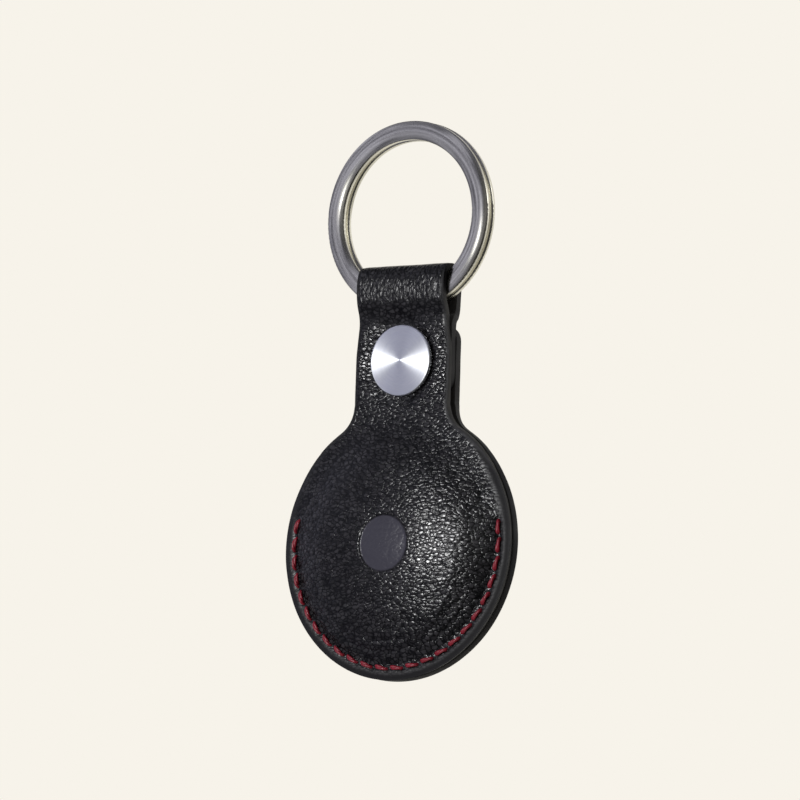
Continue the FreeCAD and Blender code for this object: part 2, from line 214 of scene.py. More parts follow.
class Board:
    """Adds and links the nodes of one tree."""

    def __init__(self, tree: NodeTree) -> None:
        """Keep the tree to work on."""
        self.tree = tree

    def add(self, kind: str, **settings: object) -> Node:
        """Add a node.

        Args:
            kind: the node's type.
            settings: its properties.

        Returns:
            The node.
        """
        node = self.tree.nodes.new(kind)
        for name, value in settings.items():
            setattr(node, name, value)
        return node

    def feed(self, socket: NodeSocket, value: object) -> None:
        """Link a socket to another, or set its value.

        Args:
            socket: the input.
            value: the socket or the value that it gets.
        """
        if isinstance(value, NodeSocket):
            self.tree.links.new(value, socket)
        else:
            socket.default_value = value

    def fill(self, node: Node, **values: object) -> None:
        """Feed a node's inputs by name, with an underscore for each space."""
        for name, value in values.items():
            self.feed(node.inputs[name.replace("_", " ")], value)

    def fill_in_order(self, node: Node, values: Iterable[object]) -> Node:
        """Feed a node's first inputs.

        Args:
            node: the node.
            values: what they get, in order.

        Returns:
            The node.
        """
        for socket, value in zip(node.inputs, values):
            self.feed(socket, value)
        return node

    def math(self, operation: str, *values: object) -> NodeSocket:
        """The result of a Math node on sockets or numbers."""
        node = self.add("ShaderNodeMath", operation=operation)
        return self.fill_in_order(node, values).outputs[0]

    def vector(self, operation: str, *values: object) -> NodeSocket:
        """A sum of vectors.

        Args:
            operation: the Vector Math node's operation.
            values: sockets or vectors.

        Returns:
            The result's socket.
        """
        node = self.add("ShaderNodeVectorMath", operation=operation)
        number = operation == "DOT_PRODUCT"
        return self.fill_in_order(node, values).outputs["Value" if number else "Vector"]

    def graded(
        self, value: object, low: float, high: float, start: float = 0.0, end: float = 1.0
    ) -> NodeSocket:
        """A smooth passage from start, where the value is low, to end, where it is high."""
        node = self.add("ShaderNodeMapRange", interpolation_type="SMOOTHSTEP")
        return self.fill_in_order(node, (value, low, high, start, end)).outputs[0]

    def mixed(
        self, share: object, first: object, second: object, kind: Mixing = Mixing.COLOURS
    ) -> NodeSocket:
        """A colour or number between two others.

        Args:
            share: how much of the second.
            first: the one at 0.
            second: the one at 1.
            kind: whether they are colours or numbers.

        Returns:
            The result's socket.
        """
        data_type, at_0, at_1, result = kind.value
        node = self.add("ShaderNodeMix", data_type=data_type)
        for i, value in ((0, share), (at_0, first), (at_1, second)):
            self.feed(node.inputs[i], value)
        return node.outputs[result]

    def lumps(self, vector: object, scale: object, detail: float = 2.0) -> NodeSocket:
        """Soft noise from 0 to 1.

        Args:
            vector: where it is read.
            scale: lumps in a unit.
            detail: finer layers of it.

        Returns:
            The value's socket.
        """
        node = self.add("ShaderNodeTexNoise")
        self.fill(node, Vector=vector, Scale=scale, Detail=detail)
        return node.outputs[0]

    def cells(self, vector: object, scale: object, feature: str) -> Node:
        """A cell pattern.

        Args:
            vector: where it is read.
            scale: cells in a unit.
            feature: what is measured.

        Returns:
            The node.
        """
        node = self.add("ShaderNodeTexVoronoi", feature=feature)
        self.fill(node, Vector=vector, Scale=scale)
        return node

    def parts(self, vector: object) -> tuple[NodeSocket, ...]:
        """The sockets of a vector's three numbers."""
        return tuple(self.fill_in_order(self.add("ShaderNodeSeparateXYZ"), (vector,)).outputs)

    def joined(self, *numbers: object) -> NodeSocket:
        """The socket of a vector made of three numbers."""
        return self.fill_in_order(self.add("ShaderNodeCombineXYZ"), numbers).outputs[0]

    def radius(self, x: NodeSocket, z: NodeSocket) -> NodeSocket:
        """The distance from the depth axis, for places to the right and upwards."""
        squares = self.math("MULTIPLY_ADD", x, x, self.math("MULTIPLY", z, z))
        return self.math("SQRT", squares)

    def about(self, height: float) -> NodeSocket:
        """The surface's place in millimetres about a point on the middle line.

        Args:
            height: the point's height above the middle of the round body.

        Returns:
            The vector's socket.
        """
        source = self.add("ShaderNodeTexCoord").outputs["Object"]
        node = self.add("ShaderNodeMapping")
        self.fill(node, Vector=source, Location=(0.0, 0.0, HANG - height), Scale=(1.0 / MM,) * 3)
        return node.outputs[0]

    def resting(self) -> NodeSocket:
        """A bending piece's places at rest, in millimetres about the body's middle."""
        return self.add("ShaderNodeAttribute", attribute_name="rest_mm").outputs["Vector"]

    def placed(self, group: NodeTree, **values: object) -> Node:
        """Place a node group.

        Args:
            group: the group.
            values: its inputs by name.

        Returns:
            The group's node.
        """
        node = self.add("ShaderNodeGroup", node_tree=group)
        self.fill(node, **values)
        return node

    def relief(self, height: object, depth: float) -> NodeSocket:
        """Fine relief as a normal.

        Args:
            height: the relief, from 0 to 1.
            depth: how deep it is, in millimetres.

        Returns:
            The normal's socket.
        """
        node = self.add("ShaderNodeBump")
        self.fill(node, Height=height, Distance=depth * MM)
        return node.outputs[0]


def new_group(
    name: str, inputs: tuple[str, ...], outputs: tuple[str, ...]
) -> tuple[Board, Node, Node]:
    """Start a shader node group.

    Args:
        name: the group's name.
        inputs: names of the inputs; Vector is a vector and the others are numbers.
        outputs: names of the outputs, all numbers.

    Returns:
        The group's board and its input and output nodes.
    """
    tree = bpy.data.node_groups.new(name, "ShaderNodeTree")
    for way, labels in (("INPUT", inputs), ("OUTPUT", outputs)):
        for label in labels:
            kind = "NodeSocketVector" if label == "Vector" else "NodeSocketFloat"
            tree.interface.new_socket(name=label, in_out=way, socket_type=kind)
    board = Board(tree)
    return board, board.add("NodeGroupInput"), board.add("NodeGroupOutput")


def pebble_group() -> NodeTree:
    """Pebbled grain: rounded pebbles, each leaning its own way, with creases between them.

    Returns:
        The group.
    """
    warp_scale, warp_reach, swell_scale, grit_scale, blotch_scale = 0.8, 0.8, 0.33, 4.0, 0.12
    smoothness, crease = 0.22, 0.22
    top_rise, dome_rise, swell_rise, grit_rise = 0.35, 1.3, 0.9, 0.06
    shade_range, shade_least = 0.9, 0.35
    half = (0.5, 0.5, 0.5)

    board, given, out = new_group(
        "pebble_grain", ("Vector", "Cell"), ("Height", "Top", "Blotch")
    )
    source = given.outputs["Vector"]
    scale = board.math("DIVIDE", 1.0, given.outputs["Cell"])
    warp = board.add("ShaderNodeTexNoise")
    board.fill(warp, Vector=source, Scale=board.math("MULTIPLY", scale, warp_scale), Detail=3.0)
    shift = board.vector("SUBTRACT", warp.outputs["Color"], half)
    place = board.vector("ADD", source, board.vector("MULTIPLY", shift, (warp_reach,) * 3))
    pebble = board.cells(place, scale, "SMOOTH_F1")
    board.fill(pebble, Smoothness=smoothness)
    near = pebble.outputs["Distance"]
    dome = board.math("SUBTRACT", 1.0, board.math("MULTIPLY", near, near))
    local = board.vector("SUBTRACT", place, pebble.outputs["Position"])
    way = board.vector("SUBTRACT", pebble.outputs["Color"], half)
    lean = board.vector("DOT_PRODUCT", local, way)
    edge = board.cells(place, scale, "DISTANCE_TO_EDGE").outputs["Distance"]
    top = board.graded(edge, 0.0, crease)
    swell = board.lumps(source, board.math("MULTIPLY", scale, swell_scale), 1.0)
    grit = board.lumps(place, board.math("MULTIPLY", scale, grit_scale))
    height = board.math("MULTIPLY_ADD", top, top_rise, board.math("MULTIPLY", dome, dome_rise))
    for part, rise in ((lean, scale), (swell, swell_rise), (grit, grit_rise)):
        height = board.math("MULTIPLY_ADD", part, rise, height)
    # Colour share for the leather: low in the creases, for painted shade there, with a random tone
    # per pebble
    tint = board.parts(pebble.outputs["Color"])[0]
    shade = board.math("MULTIPLY_ADD", tint, shade_range, shade_least)
    tone_and_crease_shade = board.math("MULTIPLY", board.math("MULTIPLY", top, dome), shade)
    board.fill(out, Height=height, Top=tone_and_crease_shade, Blotch=board.lumps(source, blotch_scale))
    return board.tree


def lathe_group() -> NodeTree:
    """Turning marks: fine rings about the depth axis, a little uneven round each turn.

    Returns:
        The group.
    """
    broad_rings, broad_turn, detail = 3.2, 1.6, 3.0
    middle = (0.2, 1.6)

    board, given, out = new_group("lathe_marks", ("Vector", "Rings"), ("Height", "Streak"))
    rings = given.outputs["Rings"]
    x, y, z = board.parts(given.outputs["Vector"])
    radius = board.radius(x, z)
    turn = board.math("ARCTAN2", x, z)
    fine = board.joined(
        board.math("MULTIPLY", radius, rings), board.math("MULTIPLY", y, rings), turn
    )
    marks = board.math("MULTIPLY", board.lumps(fine, 1.0, detail), board.graded(radius, *middle))
    broad = board.joined(
        board.math("MULTIPLY", radius, broad_rings), y, board.math("MULTIPLY", turn, broad_turn)
    )
    board.fill(out, Height=marks, Streak=board.lumps(broad, 1.0, detail))
    return board.tree


def handling_group() -> NodeTree:
    """Handling: broad soft patches and a sprinkle of fine specks.

    Returns:
        The group.
    """
    patches, specks = 0.35, 9.0

    board, given, out = new_group("handling", ("Vector",), ("Patch", "Speck"))
    source = given.outputs["Vector"]
    board.fill(out, Patch=board.lumps(source, patches, 3.0), Speck=board.lumps(source, specks))
    return board.tree


class Groups:
    """The effects that several finishes share, built once."""

    def __init__(self) -> None:
        """Build the groups."""
        self.pebble = pebble_group()
        self.lathe = lathe_group()
        self.handling = handling_group()


# Finishes

PATCHES = (0.3, 0.7)


def new_finish(name: str) -> tuple[Material, Board, Node]:
    """Start a material.

    Args:
        name: the material's name.

    Returns:
        The material, its board and its shader.
    """
    material = bpy.data.materials.new(name)
    material.use_nodes = True
    board = Board(material.node_tree)
    return material, board, material.node_tree.nodes["Principled BSDF"]


@dataclass(frozen=True)
class PebbledLeather:
    """Black grained leather, softened over the fold, in the recess and at the cut edges."""

    name: str
    recess: float = 0.0
    fold: float = 37.2
    pinch: float = 35.9
    cell: float = 0.8
    depth: float = 0.047
    pressed_grain: float = 0.3
    bent_rough: float = 0.1
    top_rough: float = -0.03
    specular: float = 0.24
    # The near-black crease colour is painted shade in the creases between the pebbles; the lighter
    # top colour is partly wear on the pebble tops and partly painted sheen.
    crease_painted_shade: Colour = (0.0008, 0.0008, 0.001, 1.0)
    top: Colour = (0.024, 0.0233, 0.0268, 1.0)
    # The recess's lighter, bluish colour is a painted sheen, for the smooth flattened disc catching
    # the light.
    recess_painted_sheen: Colour = (0.034, 0.033, 0.046, 1.0)
    painted: Colour = (0.007, 0.0068, 0.008, 1.0)

    LYING = (0.9, 1.0, 1.45)
    STRAINED = (1.5, 0.6, 0.6)
    BENT = (-0.8, 0.6)
    PINCHED = (1.2, 2.4, 0.3, 1.0)
    PLUMP = (17.0, 25.0, 1.0, 1.5)
    NARROW_EDGE = (8.0, 18.0, 1.0, 0.3)
    UNPAINTED = (0.4, 1.2)
    GRAINED = (0.3, 2.2, 0.1, 1.0)
    DULLED = (0.4, 2.2, 0.38, 0.0)
    ROUGH = (*PATCHES, 0.2, 0.24)
    RECESS_RIM = (-0.25, 0.1)

    def make(self, groups: Groups) -> Material:
        """Build the material.

        Args:
            groups: the shared effects.

        Returns:
            The material.
        """
        material, board, shader = new_finish(self.name)
        place = board.resting()
        x, _, z = board.parts(place)
        grain, strained = (
            board.placed(groups.pebble, Vector=board.vector("MULTIPLY", place, way), Cell=self.cell)
            for way in (self.LYING, self.STRAINED)
        )
        bent = board.graded(z, *(self.fold + reach for reach in self.BENT))
        from_edge = board.add("ShaderNodeAttribute", attribute_name="edge_mm").outputs["Fac"]
        from_edge = board.math("DIVIDE", from_edge, board.graded(z, *self.NARROW_EDGE))

        heights = (sheet.outputs["Height"] for sheet in (grain, strained))
        height = board.mixed(bent, *heights, Mixing.NUMBERS)
        from_pinch = board.math("ABSOLUTE", board.math("SUBTRACT", z, self.pinch))
        for share in (
            board.graded(z, *self.PLUMP),
            board.graded(from_pinch, *self.PINCHED),
            board.graded(from_edge, *self.GRAINED),
        ):
            height = board.math("MULTIPLY", height, share)
        # Painted shade: the colour falls from the pebble tops to the near-black crease colour in
        # the creases, with a random tone per pebble.
        colour = board.mixed(grain.outputs["Top"], self.crease_painted_shade, self.top)
        if self.recess > 0.0:
            around = board.graded(board.radius(x, z), *(self.recess + r for r in self.RECESS_RIM))
            left = board.math("MULTIPLY_ADD", around, 1 - self.pressed_grain, self.pressed_grain)
            height = board.math("MULTIPLY", height, left)
            # Painted sheen: the recess takes a lighter, bluish colour.
            colour = board.mixed(around, self.recess_painted_sheen, colour)
        rough = board.graded(grain.outputs["Blotch"], *self.ROUGH)
        rough = board.math("MULTIPLY_ADD", bent, self.bent_rough, rough)
        rough = board.math("ADD", rough, board.graded(from_edge, *self.DULLED))
        board.fill(
            shader,
            Base_Color=board.mixed(board.graded(from_edge, *self.UNPAINTED), self.painted, colour),
            Roughness=board.math("MULTIPLY_ADD", grain.outputs["Top"], self.top_rough, rough),
            Normal=board.relief(height, self.depth),
            Specular_IOR_Level=self.specular,
        )
        return material


@dataclass(frozen=True)
class PaintedEdge:
    """Satin black edge paint with a slightly uneven skin."""

    name: str = "edge_paint"
    dark: Colour = (0.006, 0.0058, 0.007, 1.0)
    pale: Colour = (0.009, 0.0088, 0.0105, 1.0)
    depth: float = 0.006
    specular: float = 0.24

    ROUGH = (*PATCHES, 0.54, 0.64)

    def make(self, groups: Groups) -> Material:
        """Build the material.

        Args:
            groups: the shared effects.

        Returns:
            The material.
        """
        material, board, shader = new_finish(self.name)
        marks = board.placed(groups.handling, Vector=board.resting())
        board.fill(
            shader,
            Base_Color=board.mixed(marks.outputs["Patch"], self.dark, self.pale),
            Roughness=board.graded(marks.outputs["Patch"], *self.ROUGH),
            Normal=board.relief(marks.outputs["Speck"], self.depth),
            Specular_IOR_Level=self.specular,
        )
        return material


@dataclass(frozen=True)
class FibrousFinish:
    """Fibres in patches of two shades: napped leather, lining or thread."""

    name: str
    dark: Colour
    pale: Colour
    fibres: float = 7.0
    detail: float = 4.0
    patch_share: float = 0.6
    fibre_share: float = 0.5
    rough: tuple[float, ...] = (0.2, 0.8, 0.8, 0.98)
    depth: float = 0.06
    sheen: float = 0.25
    bends: bool = True

    def make(self, groups: Groups) -> Material:
        """Build the material.

        Args:
            groups: the shared effects.

        Returns:
            The material.
        """
        material, board, shader = new_finish(self.name)
        place = board.resting() if self.bends else board.about(0.0)
        marks = board.placed(groups.handling, Vector=place)
        fibre = board.lumps(place, self.fibres, self.detail)
        share = board.math("MULTIPLY", marks.outputs["Patch"], self.patch_share)
        share = board.math("MULTIPLY_ADD", fibre, self.fibre_share, share)
        board.fill(
            shader,
            Base_Color=board.mixed(share, self.dark, self.pale),
            Roughness=board.graded(fibre, *self.rough),
            Normal=board.relief(fibre, self.depth),
            Sheen_Weight=self.sheen,
        )
        return material


@dataclass(frozen=True)
class TurnedMetal:
    """Metal turned about the depth axis, with one roughness on its faces and one on its walls."""

    name: str
    centre: float
    dark: Colour
    pale: Colour
    face_rough: float = 0.34
    wall_rough: float = 0.2
    rings: float = 14.0
    mark: float = 0.004
    brushed: float = 0.0
    brush_turn: float = 0.232

    FACE = (0.75, 0.97)
    HANDLED = (*PATCHES, -0.01, 0.02)

    def make(self, groups: Groups) -> Material:
        """Build the material.

        Args:
            groups: the shared effects.

        Returns:
            The material.
        """
        material, board, shader = new_finish(self.name)
        place = board.about(self.centre)
        lines = board.placed(groups.lathe, Vector=place, Rings=self.rings)
        marks = board.placed(groups.handling, Vector=place)
        facing = board.parts(board.add("ShaderNodeTexCoord").outputs["Normal"])[1]
        face = board.graded(board.math("ABSOLUTE", facing), *self.FACE)
        more = self.face_rough - self.wall_rough
        rough = board.math("MULTIPLY_ADD", face, more, self.wall_rough)
        handled = board.graded(marks.outputs["Patch"], *self.HANDLED)
        streak = board.graded(lines.outputs["Streak"], *PATCHES)
        board.fill(
            shader,
            Base_Color=board.mixed(streak, self.dark, self.pale),
            Roughness=board.math("ADD", rough, handled),
            Normal=board.relief(lines.outputs["Height"], self.mark),
            Metallic=1.0,
        )
        if self.brushed > 0.0:
            tangent = board.add("ShaderNodeTangent", direction_type="RADIAL", axis="Y")
            board.fill(
                shader,
                Anisotropic=self.brushed,
                Anisotropic_Rotation=self.brush_turn,
                Tangent=tangent.outputs[0],
            )
        return material


@dataclass(frozen=True)
class MouldedPlastic:
    """Moulded plastic, or plain card, with a fine satin skin."""

    name: str
    dark: Colour
    pale: Colour
    rough: float = 0.35
    depth: float = 0.006

    SMOOTHER, ROUGHER = -0.05, 0.08

    def make(self, groups: Groups) -> Material:
        """Build the material.

        Args:
            groups: the shared effects.

        Returns:
            The material.
        """
        material, board, shader = new_finish(self.name)
        marks = board.placed(groups.handling, Vector=board.about(0.0))
        patch = marks.outputs["Patch"]
        ends = self.rough + self.SMOOTHER, self.rough + self.ROUGHER
        board.fill(
            shader,
            Base_Color=board.mixed(patch, self.dark, self.pale),
            Roughness=board.graded(patch, *PATCHES, *ends),
            Normal=board.relief(marks.outputs["Speck"], self.depth),
        )
        return material


# Leather


@dataclass(frozen=True)
class DomeForm:
    """Profile of the moulded pocket: crown, shoulder, wall and foot, all tangent."""

    apex: float = 5.45
    flange: float = 1.45
    crown: float = 70.0
    shoulder_start: float = 13.2
    shoulder: float = 3.9
    foot: float = 1.1
    slope: float = math.radians(50)
    foot_steps: int = 4
    shoulder_steps: int = 6

    def rings(
        self, offset: float, flange_radii: tuple[float, ...], crown_radii: tuple[float, ...]
    ) -> list[tuple[float, float]]:
        """The profile from the rim to the middle.

        Args:
            offset: depth below the outer surface.
            flange_radii: stations on the flat rim.
            crown_radii: stations on the crown.

        Returns:
            Radius and depth of each ring.
        """
        lean = math.asin(self.shoulder_start / self.crown)
        crown_y = self.apex - self.crown
        out = (self.crown - self.shoulder) * math.sin(lean)
        up = crown_y + (self.crown - self.shoulder) * math.cos(lean)
        wall_high = up + self.shoulder * math.cos(self.slope)
        wall_low = self.flange + self.foot * (1 - math.cos(self.slope))
        run = (wall_high - wall_low) / math.tan(self.slope)
        foot_out = out + (self.shoulder + self.foot) * math.sin(self.slope) + run
        foot_up = self.flange + self.foot
        rings = [(r, self.flange - offset) for r in flange_radii]
        for i in range(self.foot_steps + 1):
            angle = self.slope * i / self.foot_steps
            reach = self.foot + offset
            rings.append((foot_out - reach * math.sin(angle), foot_up - reach * math.cos(angle)))
        for i in range(self.shoulder_steps + 1):
            angle = self.slope + (lean - self.slope) * i / self.shoulder_steps
            reach = self.shoulder - offset
            rings.append((out + reach * math.sin(angle), up + reach * math.cos(angle)))
        reach = self.crown - offset
        rings += [(r, crown_y + math.sqrt(reach * reach - r * r)) for r in crown_radii]
        return rings


@dataclass(frozen=True)
class Row:
    """One row of the neck or strap, from edge to edge."""

    depth: float
    height: float
    half: float
    arch: float = 0.0


def smooth_path(points: list[tuple[float, ...]], step: float, fineness: int = 24) -> np.ndarray:
    """A smooth line through points, at even steps.

    Args:
        points: the points it passes through.
        step: the distance between stations.
        fineness: the trial stations between two points.

    Returns:
        The stations, without the first point.
    """
    given = np.array(points, float)
    padded = np.vstack([2 * given[0] - given[1], given, 2 * given[-1] - given[-2]])
    dense = []
    for a, b, c, d in zip(padded, padded[1:], padded[2:], padded[3:]):
        for t in np.linspace(0.0, 1.0, fineness, endpoint=False):
            square, cube = 2 * a - 5 * b + 4 * c - d, 3 * b - a - 3 * c + d
            dense.append(0.5 * (2 * b + (c - a) * t + square * t**2 + cube * t**3))
    dense = np.vstack(dense + [given[-1]])
    steps = np.linalg.norm(np.diff(dense[:, :2], axis=0), axis=1)
    gone = np.concatenate([[0.0], np.cumsum(steps)])
    stations = np.linspace(0.0, gone[-1], max(2, round(gone[-1] / step)) + 1)[1:]
    return np.column_stack([np.interp(stations, gone, column) for column in dense.T])


@dataclass
class LeatherSheet:
    """A round sheet with a domed middle, and a neck that grows out of its top."""

    name: str
    side: Side
    rings: list[tuple[float, float]]
    rows: list[Row] = field(default_factory=list)
    thickness: float = 1.2
    edge_round: float = 0.26
    edge_angle: float = math.radians(55)
    edge_segments: int = 3
    around: int = 160
    neck_angle: float = math.radians(31.5)
    slack: float = 0.01
    levels: int = 1

    def cage(self) -> Object:
        """Draw the sheet's outer face: a circle drawn in ring by ring, then the neck row by row.

        Returns:
            The open sheet, with its normals outwards.
        """
        clear_selection()
        radius, depth = self.rings[0]
        middle = in_frame(0, self.side.value * depth, 0)
        bpy.ops.mesh.primitive_circle_add(
            vertices=self.around, radius=radius * MM, fill_type="NOTHING",
            location=middle, rotation=(math.pi / 2, 0, 0),
        )
        obj = bpy.context.object
        obj.name = self.name
        obj.data.name = self.name
        settle(obj)
        bpy.ops.object.mode_set(mode="EDIT")
        bpy.ops.mesh.select_all(action="SELECT")
        for (outer, high), (inner, low) in zip(self.rings, self.rings[1:]):
            bpy.ops.mesh.extrude_edges_move()
            share = inner / outer
            bpy.ops.transform.resize(value=(share, 1, share), center_override=in_frame(0, 0, 0))
            bpy.ops.transform.translate(value=(0, self.side.value * (low - high) * MM, 0))
        if self.rows:
            self.grow_neck(obj)
        bpy.ops.mesh.select_all(action="SELECT")
        bpy.ops.mesh.normals_make_consistent(inside=False)
        sheet = bmesh.from_edit_mesh(obj.data)
        nearest = min(sheet.faces, key=lambda f: (f.calc_center_median() - middle).length)
        if nearest.normal.y * self.side.value < 0:
            bpy.ops.mesh.flip_normals()
        bpy.ops.object.mode_set(mode="OBJECT")
        return obj

    def grow_neck(self, obj: Object) -> None:
        """Extrude the top of the rim up the neck, one row after another.

        Args:
            obj: the sheet, in edit mode.
        """
        bpy.ops.mesh.select_all(action="DESELECT")
        sheet = bmesh.from_edit_mesh(obj.data)
        radius, depth = self.rings[0]
        start = radius * math.cos(self.neck_angle)
        for edge in sheet.edges:
            high = all((v.co.z / MM + HANG) > start - self.slack for v in edge.verts)
            if edge.is_boundary and high:
                edge.select_set(True)
        bmesh.update_edit_mesh(obj.data)
        half = radius * math.sin(self.neck_angle)
        last = Row(self.side.value * depth, start, half, 1.0)
        for row in self.rows:
            bpy.ops.mesh.extrude_edges_move()
            flatten = row.arch / last.arch if last.arch > 0 else 1.0
            pivot = in_frame(0, last.depth, last.height)
            share = row.half / last.half
            bpy.ops.transform.resize(value=(share, 1, flatten), center_override=pivot)
            back, up = row.depth - last.depth, row.height - last.height
            bpy.ops.transform.translate(value=(0, back * MM, up * MM))
            last = row

    def refine(self, obj: Object) -> None:
        """Subdivide the sheet and close its middle.

        Args:
            obj: the sheet.
        """
        modify(obj, "SUBSURF", levels=self.levels, render_levels=self.levels)
        bpy.ops.object.mode_set(mode="EDIT")
        bpy.ops.mesh.select_all(action="DESELECT")
        sheet = bmesh.from_edit_mesh(obj.data)
        middle = in_frame(0, 0, 0)
        for edge in sheet.edges:
            near = all(math.hypot(v.co.x, v.co.z - middle.z) < MM for v in edge.verts)
            if edge.is_boundary and near:
                edge.select_set(True)
        bmesh.update_edit_mesh(obj.data)
        bpy.ops.mesh.extrude_edges_move()
        bpy.ops.mesh.merge(type="CENTER")
        bpy.ops.object.mode_set(mode="OBJECT")

    def mark_edge(self, obj: Object) -> None:
        """Keep each point's distance from the sheet's outline, in millimetres, for the finish.

        Args:
            obj: the sheet, before it has a thickness.
        """
        sheet = bmesh.new()
        sheet.from_mesh(obj.data)
        outline = [v.co.copy() for v in sheet.verts if v.is_boundary]
        sheet.free()
        tree = KDTree(len(outline))
        for i, place in enumerate(outline):
            tree.insert(place, i)
        tree.balance()
        near = [tree.find(v.co)[2] / MM for v in obj.data.vertices]
        obj.data.attributes.new("edge_mm", "FLOAT", "POINT").data.foreach_set("value", near)

    def thicken(self, obj: Object, shares: np.ndarray) -> None:
        """Give the sheet its thickness inwards and round its cut edges.

        Args:
            obj: the sheet.
            shares: the share of the full thickness at each point.
        """
        dress(obj, None, None, None)
        group = obj.vertex_groups.new(name="thickness")
        shares = np.round(shares, 2)
        for share in np.unique(shares):
            group.add(np.nonzero(shares == share)[0].tolist(), float(share), "REPLACE")
        modify(
            obj, "SOLIDIFY", thickness=self.thickness * MM, offset=-1.0, use_even_offset=True,
            vertex_group=group.name, material_offset=1, material_offset_rim=2,
        )
        if self.edge_round > 0:
            modify(
                obj, "BEVEL", width=self.edge_round * MM, segments=self.edge_segments,
                limit_method="ANGLE", angle_limit=self.edge_angle,
            )
        obj.vertex_groups.clear()
        work_on(obj)
        bpy.ops.object.shade_smooth()

    def keep_rest(self, obj: Object) -> None:
        """Keep each point's place at rest, in millimetres, so that the finish bends with it.

        Args:
            obj: the finished piece.
        """
        places = points_of(obj)[0].ravel()
        kept = obj.data.attributes.new("rest_mm", "FLOAT_VECTOR", "POINT")
        kept.data.foreach_set("vector", places)


@dataclass
class SeamPlan:
    """Where the stitches of the lower seam lie."""

    radius: float = 19.1
    pitch: float = 2.87
    count: int = 24
    lead: float = 0.75
    span: float = 1.6
    slant: float = math.radians(8)
    groove: float = 0.07
    groove_width: float = 0.7
    hole: float = 0.2
    hole_width: float = 0.42
    hole_out: float = 0.1

    PAST_ENDS = (2.2, 0.8)

    def hollow(self, points: np.ndarray) -> np.ndarray:
        """How far the thread pulls the leather in: a groove, and a dimple at each hole.

        Args:
            points: places in millimetres.

        Returns:
            The hollow's depth at each point.
        """
        out = np.hypot(points[:, 0], points[:, 2]) - self.radius
        along = np.arctan2(points[:, 0], -points[:, 2]) * self.radius + self.lead
        half = (self.count - 1) / 2
        nearest = np.clip(np.round(along / self.pitch + half), 0, self.count - 1) - half
        across = along - nearest * self.pitch
        sewn = step_up(np.abs(along), *(half * self.pitch + past for past in self.PAST_ENDS))
        hollow = self.groove * sewn * np.exp(-((out / self.groove_width) ** 2))
        for end in (-1, 1):
            reach = end * (self.span / 2 + self.hole_out)
            x, z = reach * math.cos(self.slant), reach * math.sin(self.slant)
            apart = np.hypot(across - x, out - z)
            hollow += self.hole * sewn * np.exp(-((apart / self.hole_width) ** 2))
        return hollow


